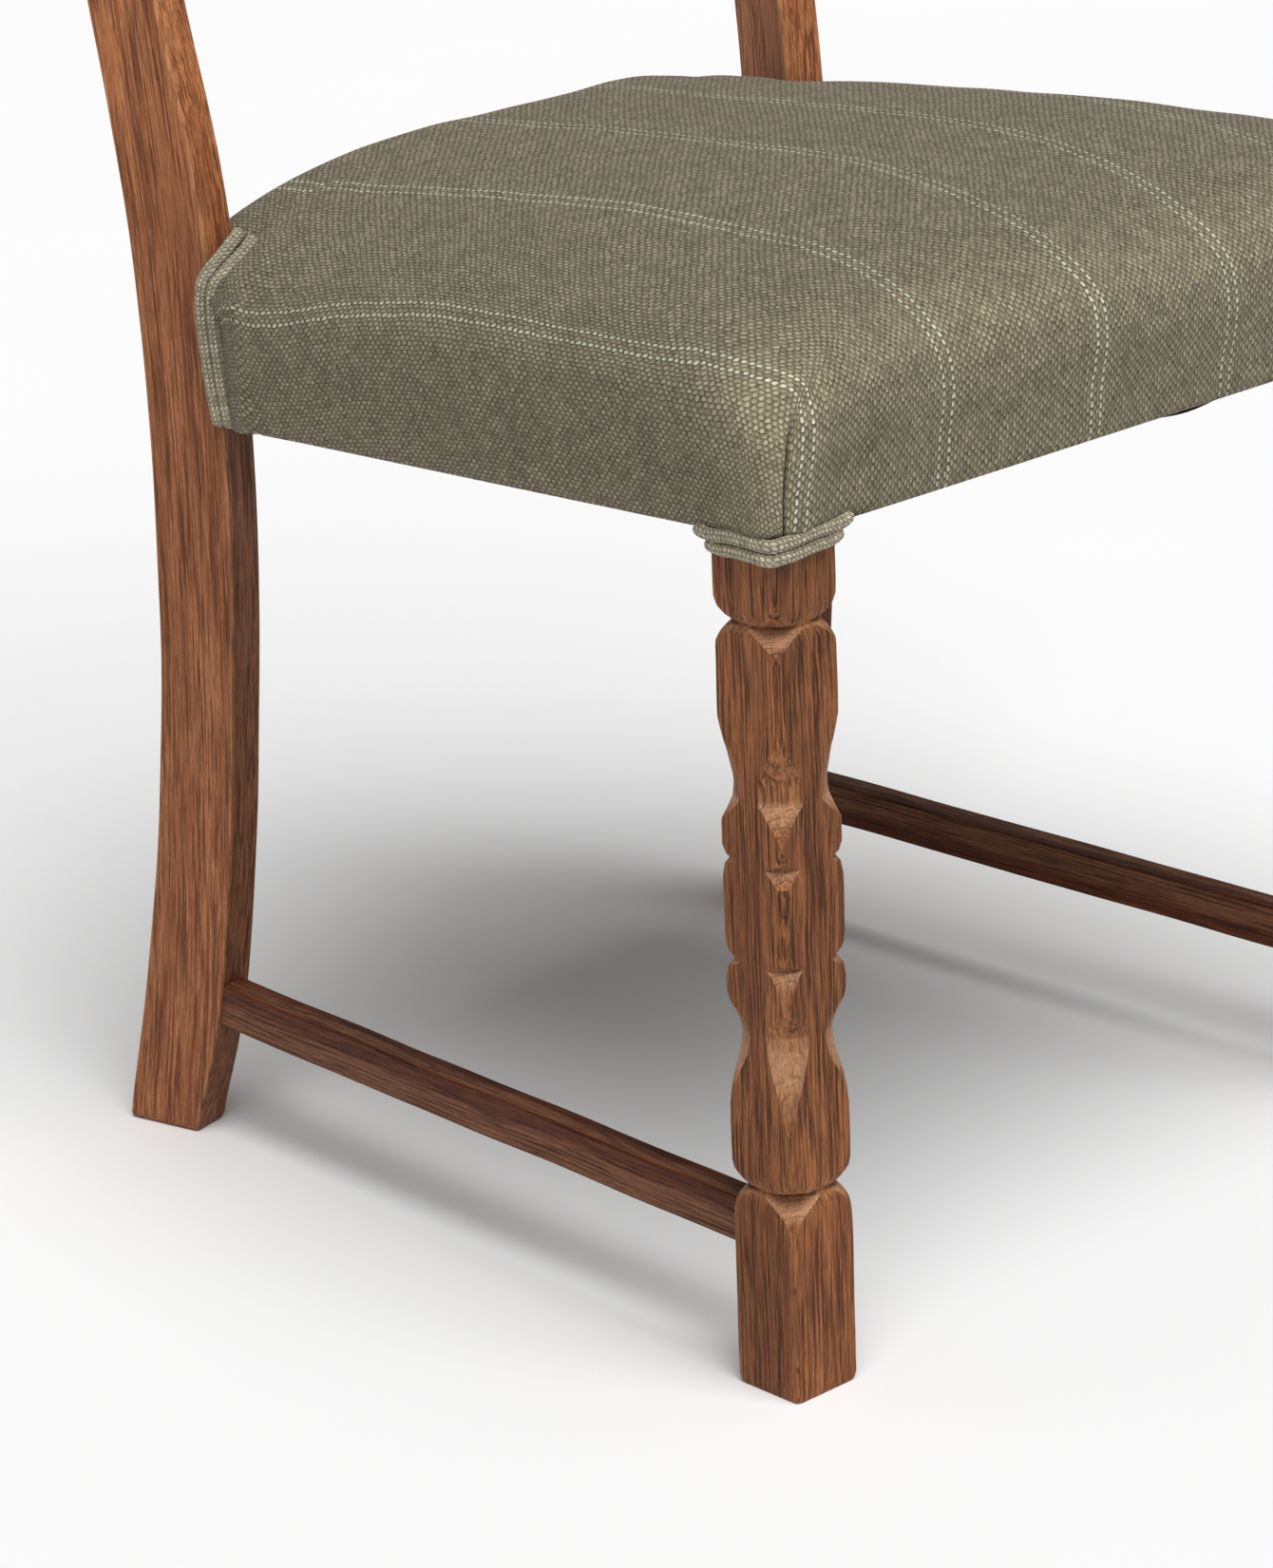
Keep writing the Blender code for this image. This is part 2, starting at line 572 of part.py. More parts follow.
def slat_sheet(bottom, height, dip, rise, housing):
    """The slat's middle surface: an arc that meets both posts squarely, ruled along the posts' lean."""
    front, rear = post_edge(POST_FRONT, LEAN_FRONT), post_edge(POST_BACK, LEAN_BACK)
    mesh = bmesh.new()
    columns, rows = 24, 4
    grid = []
    for i in range(columns + 1):
        column = []
        for j in range(rows + 1):
            along = 2 * i / columns - 1
            bow = 1 - along * along
            low = bottom + dip * bow
            high = bottom + height + rise * bow
            z = low + (high - low) * j / rows
            middle = (edge_at(front, z) + edge_at(rear, z)) / 2
            end = post_point(middle, POST_THICKNESS, z)
            radius = -end.x / math.sin(POST_TURN)
            angle = along * (POST_TURN + housing / radius)
            centre_y = end.y - radius * math.cos(POST_TURN)
            column.append(mesh.verts.new((radius * math.sin(angle), centre_y + radius * math.cos(angle), z)))
        grid.append(column)
    for left, right in zip(grid, grid[1:]):
        for j in range(rows):
            mesh.faces.new((left[j], right[j], right[j + 1], left[j + 1]))
    return mesh


def thicken(obj, thickness, offset=0.0):
    solid = obj.modifiers.new("thickness", "SOLIDIFY")
    solid.thickness = thickness
    solid.offset = offset
    solid.use_even_offset = True


def slat(name, share, height, dip, rise, posts):
    bottom = share * POST_HEIGHT
    obj = piece(name, slat_sheet(bottom, height, dip, rise, SLAT_HOUSING), OAK, smooth=True)
    thicken(obj, SLAT_THICKNESS)
    size = (bottom - GAP, height + 2 * GAP, dip, rise, SLAT_HOUSING + GAP)
    cutter = piece(f"{name}_housing", slat_sheet(*size), None)
    thicken(cutter, SLAT_THICKNESS + 2 * GAP)
    for post in posts.values():
        boolean(post, cutter)


# --- seat

def cushion_outline():
    """Plan of the seat at its widest: rounded front corners, and rear corners tucked inside the posts."""
    post_corner = post_point(edge_at(post_edge(POST_FRONT, LEAN_FRONT), SEAT_UNDERSIDE), 0, 0)
    side_end = Vector((post_corner.x - BESIDE_POST, post_corner.y - AHEAD_OF_POST))
    tuck = post_point(0, POST_THICKNESS * TUCK_SHARE, 0)
    points = [Vector((0, COVER_FRONT))]
    for i in range(CORNER_STEPS + 1):
        angle = math.pi / 2 * i / CORNER_STEPS
        points.append(Vector((-COVER_HALF + CORNER_RADIUS - CORNER_RADIUS * math.sin(angle),
                              COVER_FRONT + CORNER_RADIUS - CORNER_RADIUS * math.cos(angle))))
    start = points[-1]
    points += [start.lerp(side_end, i / SIDE_STEPS) for i in range(1, SIDE_STEPS + 1)]
    points.append(Vector((tuck.x, side_end.y + TUCK_STEP)))
    points.append(Vector((tuck.x, COVER_BACK)))
    rear = [Vector((tuck.x * (1 - i / BACK_STEPS), COVER_BACK)) for i in range(1, BACK_STEPS + 1)]
    left = points + rear
    return left + [Vector((-p.x, p.y)) for p in left[-2:0:-1]]


def cushion_profile(lower=0.0):
    """Insets of the cushion's skin, and its heights over the seat plane less a margin."""
    return [(inset, share * RAIL_HEIGHT + over - lower) for inset, share, over in CUSHION_PROFILE]


def cushion_ring(outline, inset, height, shrink=0.0):
    """The outline drawn in by inset towards the crown, then shrunk all round, at a height over the seat plane."""
    middle = (COVER_FRONT + COVER_BACK) / 2
    ring = []
    for point in outline:
        x = point.x * (1 - inset / COVER_HALF) * (1 - shrink / COVER_HALF)
        y = CROWN_CENTRE + (point.y - CROWN_CENTRE) * (1 - inset / (CROWN_CENTRE - COVER_FRONT))
        y = middle + (y - middle) * (1 - shrink / (middle - COVER_FRONT))
        ring.append((x, y, seat_plane(y, height)))
    return ring


def seat_cover(cutters):
    """The fabric: one skin from the crown down to the hem, open underneath."""
    outline = cushion_outline()
    mesh = loft([cushion_ring(outline, inset, height) for inset, height in cushion_profile()], capped=False)
    mesh.verts.ensure_lookup_table()
    mesh.faces.new(mesh.verts[-len(outline):])
    bmesh.ops.recalc_face_normals(mesh, faces=mesh.faces)
    if sum(face.normal.z for face in mesh.faces) < 0:
        bmesh.ops.reverse_faces(mesh, faces=mesh.faces)
    obj = piece("seat_cover", mesh, TWEED, smooth=True)
    thicken(obj, COVER_THICKNESS, -1)
    for cutter in cutters:
        boolean(obj, cutter)


def seat_foam(cutters):
    """The stuffing: a closed pad inside the cover, flat underneath on the hessian."""
    outline = cushion_outline()
    shrink = COVER_THICKNESS + SKIN_GAP
    floor = RAIL_HEIGHT + FOAM_LIFT
    upper = [(inset, height) for inset, height in cushion_profile(shrink) if height > floor + FOAM_EDGE]
    rings = [cushion_ring(outline, upper[0][0] + FOAM_BEVEL, floor, shrink)]
    rings += [cushion_ring(outline, inset, height, shrink) for inset, height in upper]
    obj = piece("seat_foam", loft(rings), FOAM, smooth=True)
    for cutter in cutters:
        boolean(obj, cutter)


def post_clearances():
    """Cutters a little larger than the posts, which the seat's rear corners are cut back from."""
    cutters = []
    for side_name, side in SIDES.items():
        mesh = post_mesh()
        for vert in mesh.verts:
            vert.co += vert.normal * POST_CLEARANCE
        cutters.append(piece(f"post_clearance_{side_name}", mesh, None, side))
    return cutters


def cord(name, points, side, finish=TWEED, radius=CORD_RADIUS):
    """A round cord along a route, with closed ends."""
    data = bpy.data.curves.new(name, "CURVE")
    data.dimensions = "3D"
    data.bevel_depth = radius
    data.bevel_resolution = 2
    data.use_fill_caps = True
    spline = data.splines.new("POLY")
    spline.points.add(len(points) - 1)
    for knot, point in zip(spline.points, points):
        knot.co = (*point, 1)
    guide = bpy.data.objects.new(name, data)
    HELPERS.objects.link(guide)
    bpy.context.view_layer.update()
    tube = bpy.data.meshes.new_from_object(guide.evaluated_get(bpy.context.evaluated_depsgraph_get()))
    bpy.data.objects.remove(guide)
    mesh = bmesh.new()
    mesh.from_mesh(tube)
    bmesh.ops.remove_doubles(mesh, verts=mesh.verts, dist=MERGE)
    bmesh.ops.recalc_face_normals(mesh, faces=mesh.faces)
    return piece(name, mesh, finish, side, smooth=True)


def rounded_route(corners, radius):
    """A route through its corners with each turn rounded by an arc-like curve."""
    corners = [Vector(corner) for corner in corners]
    route = [corners[0]]
    for before, corner, after in zip(corners, corners[1:], corners[2:]):
        enter = corner + (before - corner).normalized() * radius
        leave = corner + (after - corner).normalized() * radius
        for i in range(BEND_STEPS + 1):
            t = i / BEND_STEPS
            route.append(enter.lerp(corner, t).lerp(corner.lerp(leave, t), t))
    return route + [corners[-1]]


def front_welts(side_name, side):
    """Two cords side by side round the outer corner of a front leg, under the cover's hem."""
    off = LEG_SIDE / 2 + CORD_RADIUS + GAP
    past = LEG_SIDE / 2 + WELT_OVERHANG
    x = -LEG_SPREAD / 2
    for name, drop in (("upper", 1), ("lower", 3)):
        height = -WELT_DROP - drop * CORD_RADIUS - (drop - 1) / 2 * GAP
        corners = [(x - off, past), (x - off, -off), (x + past, -off)]
        route = rounded_route([on_seat(Vector(corner), height) for corner in corners], FRONT_WELT_BEND)
        cord(f"front_welt_{side_name}_{name}", route, side)


def rear_welts(side_name, side):
    """Two cords up the post's outer face and across its front, where the cover meets the post."""
    front = post_edge(POST_FRONT, LEAN_FRONT)
    cutters = []
    for name, shift in (("front", -1), ("back", 1)):
        step = shift * (CORD_RADIUS + GAP)
        off = CORD_RADIUS + 2 * GAP
        low = seat_plane(FOOT_DEPTH, REAR_WELT_FOOT)
        bend = seat_plane(FOOT_DEPTH, RAIL_HEIGHT + REAR_WELT_TURN) + REAR_WELT_SPREAD * step
        top = seat_plane(FOOT_DEPTH, RAIL_HEIGHT + REAR_WELT_TOP) + step
        side_back = edge_at(front, (low + bend) / 2) + REAR_WELT_BACK + step
        face_back = min(edge_at(front, low), edge_at(front, top)) - off
        corners = (post_point(side_back, -off, low), post_point(side_back, -off, bend - REAR_WELT_RUN),
                   post_point(face_back, -off, bend), post_point(face_back, POST_THICKNESS, top))
        route = rounded_route(corners, REAR_WELT_BEND)
        cord(f"rear_welt_{side_name}_{name}", route, side)
        cutters.append(cord(f"rear_welt_{side_name}_{name}_room", route, side, None, CORD_RADIUS + 2 * GAP))
    return cutters


def strap_pitches():
    """Distances between the straps' middles, across the seat and along it."""
    return (LEG_SPREAD - 2 * LEG_SIDE) / (STRAP_COUNT + 1), (FOOT_DEPTH - LEG_SIDE) / (STRAP_COUNT + 1)


def strap_run(across, centre):
    """Where a strap starts and ends, how far apart it meets the others, and where it meets the middle one."""
    pitch_x, pitch_y = strap_pitches()
    if across:
        end = -rail_x(centre, RAIL_THICKNESS * (1 - STRAP_LAP))
        return -end, end, pitch_x, 0.0
    start = -LEG_SIDE / 2 + RAIL_SETBACK + STRAP_MARGIN
    end = FOOT_DEPTH - REAR_RAIL_AHEAD + REAR_RAIL_THICKNESS / 2 - STRAP_MARGIN
    return start, end, pitch_y, LEG_SIDE / 2 + pitch_y * (STRAP_COUNT + 1) / 2


def strap(name, across, centre, order):
    """One webbing strap, waved over and under the straps that cross it."""
    start, end, pitch, middle = strap_run(across, centre)
    swing = (STRAP_THICKNESS + GAP) / 2
    mesh = bmesh.new()
    steps = 48
    pairs = []
    for i in range(steps + 1):
        run = start + (end - start) * i / steps
        wave = STRAP_SNAP * math.cos(math.pi * (run - middle) / pitch)
        lift = STRAP_LIFT + RAIL_HEIGHT + order * swing * max(-1.0, min(1.0, wave))
        edges = []
        for half in (-STRAP_WIDTH / 2, STRAP_WIDTH / 2):
            x, y = (run, centre + half) if across else (centre + half, run)
            edges.append(mesh.verts.new((x, y, seat_plane(y, lift))))
        pairs.append(edges)
    for (a, b), (c, d) in zip(pairs, pairs[1:]):
        mesh.faces.new((a, c, d, b))
    bmesh.ops.recalc_face_normals(mesh, faces=mesh.faces)
    thicken(piece(name, mesh, JUTE), STRAP_THICKNESS)


def webbing():
    pitch_x, pitch_y = strap_pitches()
    middle = (STRAP_COUNT - 1) / 2
    for i in range(STRAP_COUNT):
        sign = -1 if (i - middle) % 2 else 1
        strap(f"webbing_lengthwise_{i + 1}", False, (i - middle) * pitch_x, sign)
        strap(f"webbing_crosswise_{i + 1}", True, LEG_SIDE / 2 + (i + 1) * pitch_y, -sign)


def seat_sheet(name, lift, thickness, margin, finish, below=False):
    """A flat sheet over or under the rails, cut clear of the legs and the posts."""
    front = -LEG_SIDE / 2 + RAIL_SETBACK + margin
    leg_in = -(LEG_SPREAD - LEG_SIDE) / 2 + SHEET_OFF_LEG
    leg_back = LEG_SIDE / 2 + SHEET_OFF_LEG
    post_front = edge_at(post_edge(POST_FRONT, LEAN_FRONT), SEAT_UNDERSIDE)
    post_in = post_point(post_front, POST_THICKNESS, 0)
    notch_x, notch_y = post_in.x + SHEET_OFF_POST, post_in.y - SHEET_AHEAD
    rear = FOOT_DEPTH - REAR_RAIL_AHEAD + REAR_RAIL_THICKNESS / 2 - margin
    left = [(leg_in, front), (leg_in, leg_back), (rail_x(leg_back, margin), leg_back),
            (rail_x(notch_y, margin), notch_y), (notch_x, notch_y), (notch_x, rear)]
    outline = left + [(-x, y) for x, y in reversed(left)]
    bottom = lift - thickness if below else lift
    piece(name, prism(outline, bottom, bottom + thickness), finish)


def centre_on_floor():
    """Moves the whole chair so that its box stands on the origin."""
    bpy.context.view_layer.update()
    graph = bpy.context.evaluated_depsgraph_get()
    ys = []
    for obj in PARTS.objects:
        shape = obj.evaluated_get(graph)
        ys += [(obj.matrix_world @ Vector(corner)).y for corner in shape.bound_box]
    CHAIR.location.y = -(min(ys) + max(ys)) / 2


def build():
    legs = {name: front_leg(name, side) for name, side in SIDES.items()}
    posts = {name: rear_post(name, side) for name, side in SIDES.items()}
    for name, side in SIDES.items():
        stretcher(name, side, legs[name], posts[name])
    rails = {name: side_rail(name, side, legs[name], posts[name]) for name, side in SIDES.items()}
    rails["front"] = front_rail(legs)
    rails["rear"] = rear_rail(posts)
    for name, side in SIDES.items():
        front_block(name, side, rails)
        rear_block(name, side, rails)
    for name, share, height, dip, rise in SLATS:
        slat(name, share, height, dip, rise, posts)
    webbing()
    seat_sheet("hessian", RAIL_HEIGHT + HESSIAN_LIFT, HESSIAN_THICKNESS, HESSIAN_MARGIN, JUTE)
    seat_sheet("dust_cover", -GAP, DUST_THICKNESS, DUST_MARGIN, CAMBRIC, below=True)
    clearances = post_clearances()
    for name, side in SIDES.items():
        front_welts(name, side)
        clearances += rear_welts(name, side)
    seat_cover(clearances)
    seat_foam(clearances)
    centre_on_floor()


clear_scene()
PARTS = new_collection("oak_chair")
HELPERS = new_collection("cutters", helpers=True)
CHAIR = bpy.data.objects.new("chair", None)
PARTS.objects.link(CHAIR)
build()
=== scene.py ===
"""Looks of the upholstered oak side chair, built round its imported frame.

Units are metres and +Z is up. The chair faces -Y and left is -X. A right-hand piece mirrors its left one.
Wood and cloth patterns read coordinates that are stored on each mesh, so that grain follows a piece's
length and the weave follows the cloth over the seat.
"""

import math

import bpy
import numpy as np
from mathutils import Matrix, Vector, noise


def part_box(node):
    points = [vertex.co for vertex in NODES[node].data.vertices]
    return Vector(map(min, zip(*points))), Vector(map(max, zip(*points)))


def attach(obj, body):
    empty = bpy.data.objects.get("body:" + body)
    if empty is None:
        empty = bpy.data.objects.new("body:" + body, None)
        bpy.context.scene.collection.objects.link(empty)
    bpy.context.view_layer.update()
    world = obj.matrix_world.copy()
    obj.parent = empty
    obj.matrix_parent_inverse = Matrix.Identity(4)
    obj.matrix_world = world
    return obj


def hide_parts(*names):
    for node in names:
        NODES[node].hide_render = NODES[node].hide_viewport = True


MM = 0.001
ROOT = "root"

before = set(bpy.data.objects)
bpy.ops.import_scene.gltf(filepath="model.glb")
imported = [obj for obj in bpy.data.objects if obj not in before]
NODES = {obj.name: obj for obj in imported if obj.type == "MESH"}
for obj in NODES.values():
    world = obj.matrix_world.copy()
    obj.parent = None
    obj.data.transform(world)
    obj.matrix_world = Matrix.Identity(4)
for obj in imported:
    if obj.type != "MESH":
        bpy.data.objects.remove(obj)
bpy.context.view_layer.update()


# --- reading the frame

def cad_points(node):
    return np.array([vert.co for vert in NODES[node].data.vertices])


def cad_edges(node):
    """Both ends of each of a CAD node's edges."""
    points = cad_points(node)
    ends = np.array([edge.vertices[:] for edge in NODES[node].data.edges])
    return points[ends[:, 0]], points[ends[:, 1]]


def reach_at(edges, height, axis):
    """Least and greatest reach along an axis where a node's edges cross a height."""
    low, high = edges
    rise = high[:, 2] - low[:, 2]
    steep = np.abs(rise) > 1e-7
    share = np.where(steep, (height - low[:, 2]) / np.where(steep, rise, 1), -1)
    hit = (share >= 0) & (share <= 1)
    points = low[hit] + (high[hit] - low[hit]) * share[hit, None]
    reach = points @ np.array(axis)
    return reach.min(), reach.max()


LEG_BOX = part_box("front_leg_left")
LEG_HALF = (LEG_BOX[1].x - LEG_BOX[0].x) / 2
LEG_X = (LEG_BOX[1].x + LEG_BOX[0].x) / 2
LEG_Y = (LEG_BOX[1].y + LEG_BOX[0].y) / 2
LEG_TOP = LEG_BOX[1].z
POST_TURN = math.radians(12.7)
INWARD = np.array((math.cos(POST_TURN), math.sin(POST_TURN), 0))
BACKWARD = np.array((-math.sin(POST_TURN), math.cos(POST_TURN), 0))
SEAT_FALL = 0.078
UNDERSIDE = 387 * MM


def seat_plane(y):
    """Height of the rails' sloping underside."""
    return UNDERSIDE - SEAT_FALL * (y - LEG_Y)


# --- materials

class Signal:
    """One output of a node. Arithmetic on it adds the nodes, so that a pattern reads as a formula."""

    def __init__(self, tree, socket):
        self.tree = tree
        self.socket = socket

    def math(self, operation, other=None, third=None):
        made = self.tree.nodes.new("ShaderNodeMath")
        made.operation = operation
        for slot, value in zip(made.inputs, (self, other, third)):
            feed(self.tree, slot, value)
        return Signal(self.tree, made.outputs[0])

    def __add__(self, other):
        return self.math("ADD", other)

    def __sub__(self, other):
        return self.math("SUBTRACT", other)

    def __mul__(self, other):
        return self.math("MULTIPLY", other)

    def __truediv__(self, other):
        return self.math("DIVIDE", other)

    def floor(self):
        return self.math("FLOOR")

    def absolute(self):
        return self.math("ABSOLUTE")

    def power(self, exponent):
        return self.math("POWER", exponent)

    def sine(self):
        return self.math("SINE")

    def cosine(self):
        return self.math("COSINE")

    def step(self, low, high, bottom=0.0, top=1.0):
        """Rises smoothly from bottom to top as the signal goes from low to high."""
        made = self.tree.nodes.new("ShaderNodeMapRange")
        made.interpolation_type = "SMOOTHSTEP"
        for slot, value in zip(made.inputs, (self, low, high, bottom, top)):
            feed(self.tree, slot, value)
        return Signal(self.tree, made.outputs[0])


def feed(tree, slot, value):
    if isinstance(value, Signal):
        tree.links.new(value.socket, slot)
    elif value is not None:
        slot.default_value = value


def new_material(name, roughness=0.6, specular=0.4, sheen=0.0):
    """A material with its Principled shader's own values set, and its node tree."""
    made = bpy.data.materials.new(name)
    made.use_nodes = True
    shader = made.node_tree.nodes["Principled BSDF"]
    shader.inputs["Roughness"].default_value = roughness
    shader.inputs["Specular IOR Level"].default_value = specular
    shader.inputs["Sheen Weight"].default_value = sheen
    return made, made.node_tree, shader


def coordinates(tree, attribute=None):
    """X, Y and Z of a mesh attribute, or of the object's own space."""
    if attribute:
        source = tree.nodes.new("ShaderNodeAttribute")
        source.attribute_name = attribute
        vector = source.outputs["Vector"]
    else:
        source = tree.nodes.new("ShaderNodeTexCoord")
        vector = source.outputs["Object"]
    split = tree.nodes.new("ShaderNodeSeparateXYZ")
    tree.links.new(vector, split.inputs[0])
    return [Signal(tree, output) for output in split.outputs]


def value_of(tree, attribute):
    source = tree.nodes.new("ShaderNodeAttribute")
    source.attribute_name = attribute
    return Signal(tree, source.outputs["Fac"])


def vector(tree, x, y, z):
    made = tree.nodes.new("ShaderNodeCombineXYZ")
    for slot, value in zip(made.inputs, (x, y, z)):
        feed(tree, slot, value)
    return Signal(tree, made.outputs[0])


def cloud(tree, place, detail=2.0, roughness=0.5, distortion=0.0):
    """Smooth noise, about 0 to 1, with features about 1 apart."""
    made = tree.nodes.new("ShaderNodeTexNoise")
    tree.links.new(place.socket, made.inputs["Vector"])
    made.inputs["Scale"].default_value = 1.0
    made.inputs["Detail"].default_value = detail
    made.inputs["Roughness"].default_value = roughness
    made.inputs["Distortion"].default_value = distortion
    return Signal(tree, made.outputs["Fac"])


def dice(tree, place):
    """A random value for each whole-numbered place."""
    made = tree.nodes.new("ShaderNodeTexWhiteNoise")
    tree.links.new(place.socket, made.inputs["Vector"])
    return Signal(tree, made.outputs["Value"])


def blend(tree, share, first, second, kind="MIX"):
    """Mixes two colours, each a signal or a triple."""
    made = tree.nodes.new("ShaderNodeMix")
    made.data_type = "RGBA"
    made.blend_type = kind
    feed(tree, made.inputs["Factor"], share)
    for slot, value in ((made.inputs[6], first), (made.inputs[7], second)):
        feed(tree, slot, value if isinstance(value, Signal) else (*value, 1.0))
    return Signal(tree, made.outputs[2])


def shaded(tree, colour, tone):
    """A colour made lighter or darker by a tone."""
    return blend(tree, 1.0, colour, vector(tree, tone, tone, tone), "MULTIPLY")


def dress(tree, shader, colour, roughness, height, depth, strength=1.0):
    """Joins a pattern's colour, relief and, unless it is None, roughness to the shader."""
    tree.links.new(colour.socket, shader.inputs["Base Color"])
    if isinstance(roughness, Signal):
        tree.links.new(roughness.socket, shader.inputs["Roughness"])
    bump = tree.nodes.new("ShaderNodeBump")
    bump.inputs["Strength"].default_value = strength
    bump.inputs["Distance"].default_value = depth
    tree.links.new(height.socket, bump.inputs["Height"])
    tree.links.new(bump.outputs[0], shader.inputs["Normal"])


# Bare oak for cuts and worn edges, also used as painted light where a cut faces up
WORN_AND_LIT_OAK = (0.54, 0.285, 0.15)


def along_grain(tree, x, y, z, fineness, stretch, detail=2.0, roughness=0.5):
    """Noise drawn out along the grain: features per metre across it, and along it."""
    place = vector(tree, x * fineness, y * fineness, z * stretch)
    return cloud(tree, place, detail, roughness)


def oak(name, light, dark, line_colour, attribute="grain", tilt=(0.7, 0.7), spacing=1.8 * MM):
    """Open-grained oak: rings as thin dark lines, long pore streaks, and paler wood on cuts and worn edges,
    with painted light on cuts that face up.

    The grain runs along the attribute's Z, or along the object's X where there is no attribute. Tilt is
    the direction across the rings, and spacing is from ring to ring.
    """
    made, tree, shader = new_material(name, roughness=0.55, specular=0.2)
    place = coordinates(tree, attribute)
    z = place.pop(2 if attribute else 0)
    x, y = place
    slow = along_grain(tree, x, y, z, 24, 9, detail=1.0) - 0.5
    quick = along_grain(tree, x, y, z, 130, 42, detail=1.0) - 0.5
    sway = slow * (9 * MM) + quick * (1.3 * MM)
    depth = x * tilt[0] + y * tilt[1] + sway
    saw = ((depth / spacing).math("FRACT") - 0.5).absolute() * 2
    patch = along_grain(tree, x, y, z, 170, 16)
    ring = saw.step(0.66, 0.98) * patch.step(0.35, 0.62)
    broad = along_grain(tree, x, y, z, 90, 10)
    drift = slow * (3 * MM)
    streaks = along_grain(tree, x + drift, y + drift, z, 860, 24, roughness=0.6)
    pores = along_grain(tree, x, y, z, 1500, 70, roughness=0.6)
    streak = streaks.step(0.48, 0.6) * patch.step(0.3, 0.6, 0.45, 1.0)
    pore = pores.step(0.48, 0.62)
    colour = blend(tree, broad.step(0.32, 0.68), light, dark)
    if attribute:
        # Paler on cuts and worn edges, and on cuts that face up, where it is painted light
        wear_and_painted_light = value_of(tree, "wear_and_painted_light")
        speckle = along_grain(tree, x, y, z, 1500, 1100, roughness=0.7).step(0.53, 0.66)
        colour = blend(tree, wear_and_painted_light * 0.8, colour, WORN_AND_LIT_OAK)
        streak = streak * (wear_and_painted_light * -0.75 + 1)
        pore = pore * (wear_and_painted_light * -0.5 + 1)
        colour = blend(tree, wear_and_painted_light * speckle * 0.5, colour, line_colour)
        ring = ring * (wear_and_painted_light * -0.45 + 1)
    colour = blend(tree, streak * 0.8, colour, line_colour)
    colour = blend(tree, pore * 0.42, colour, line_colour)
    colour = blend(tree, ring * 0.75, colour, line_colour)
    fibre = along_grain(tree, x, y, z, 2600, 240, roughness=0.8).step(0.3, 0.7, 0.82, 1.2)
    # The tone attribute scales the wood's colour: on the posts it holds painted shade below the seat and
    # painted light above it
    if attribute:
        fibre = fibre * value_of(tree, "tone")
    colour = shaded(tree, colour, fibre)
    height = streak * -0.6 - (ring * 0.5) - (pore * 0.5) + broad * 0.2
    dress(tree, shader, colour, streak.step(0.0, 1.0, 0.48, 0.66), height, 0.35 * MM, 0.9)
    return made


YARN_HALF = 0.4  # half of a yarn's width, where 1 is the pitch


def yarn_pair(tree, u, v):
    """Relief of the warp and the weft of a plain weave, each with its own uneven width."""
    slub = cloud(tree, vector(tree, u * 0.9, v * 0.9, 4.0), detail=1.0)
    wobble = cloud(tree, vector(tree, u * 0.33, v * 0.33, 3.0), detail=2.0) - 0.5
    a = u + wobble * 1.1
    b = v - wobble * 1.1
    waves = (((b - 0.5 + a.floor()) * math.pi).cosine(), ((a + 0.5 + b.floor()) * math.pi).cosine())
    reliefs = []
    for yarn, wave in zip((a, b), waves):
        off = (yarn.math("FRACT") - 0.5).absolute() / (slub * 0.16 + (YARN_HALF - 0.08))
        round_off = (off * off * -1 + 1).math("MAXIMUM", 0.0).power(0.5)
        inside = off.math("LESS_THAN", 1.0)
        reliefs.append((wave * 0.3 + 0.35 + round_off * 0.35) * inside)
    return a, b, reliefs[0], reliefs[1]


def weave(name, warp_colour, weft_colour, gap_shade, stripe_colour=None):
    """Coarse plain weave. Attribute weave counts yarns both ways; another holds the painted light and shade.
    """
    made, tree, shader = new_material(name, roughness=0.9, specular=0.15, sheen=0.12)
    u, v, _ = coordinates(tree, "weave")
    a, b, warp, weft = yarn_pair(tree, u, v)
    row_a, row_b = a.floor(), b.floor()
    height = warp.math("MAXIMUM", weft)
    on_top = warp.math("GREATER_THAN", weft)
    warp_stitch = dice(tree, vector(tree, row_a, ((b + row_a) * 0.5).floor(), 1.0))
    weft_stitch = dice(tree, vector(tree, ((a + row_b) * 0.5).floor(), row_b, 2.0))
    warp_tone = warp_stitch * 0.5 + cloud(tree, vector(tree, row_a * 3.7, v * 0.3, 5.0)) * 0.8
    weft_tone = weft_stitch * 0.5 + cloud(tree, vector(tree, u * 0.3, row_b * 3.7, 9.0)) * 0.8
    # Ply twist: relief, and painted highlights and painted shade along the plies in the yarns' colour
    twist = ((a * 2.3 + b * 2.1) * (2 * math.pi)).sine() * 0.12
    fleck = cloud(tree, vector(tree, u * 4.1, v * 4.1, 0.0), roughness=0.8)
    first = shaded(tree, warp_colour, warp_tone + twist + 0.35)
    if stripe_colour:
        place = row_a.math("FLOORED_MODULO", float(STRIPE_PERIOD))
        stripe = place.math("COMPARE", 0.0, 0.1) + place.math("COMPARE", float(STRIPE_APART), 0.1)
        first = blend(tree, stripe * 0.92, first, stripe_colour)
    second = shaded(tree, weft_colour, weft_tone - twist + 0.35)
    colour = blend(tree, on_top, second, first)
    # Between the yarns the colour turns almost black: painted shade in the weave's gaps
    colour = blend(tree, height.step(0.1, 0.62), gap_shade, colour)
    drift = cloud(tree, vector(tree, u * 0.13, v * 0.13, 0.0)).step(0.25, 0.75, 0.88, 1.1)
    # Random flecks and drifts of tone, times the cushion's painted light and painted shade
    shade = fleck.step(0.25, 0.75, 0.6, 1.4) * drift * (value_of(tree, "painted_light") + 1)
    colour = shaded(tree, colour, shade)
    dress(tree, shader, colour, None, height + fleck * 0.22 + twist * 0.5, 1.5 * MM, 1.0)
    return made


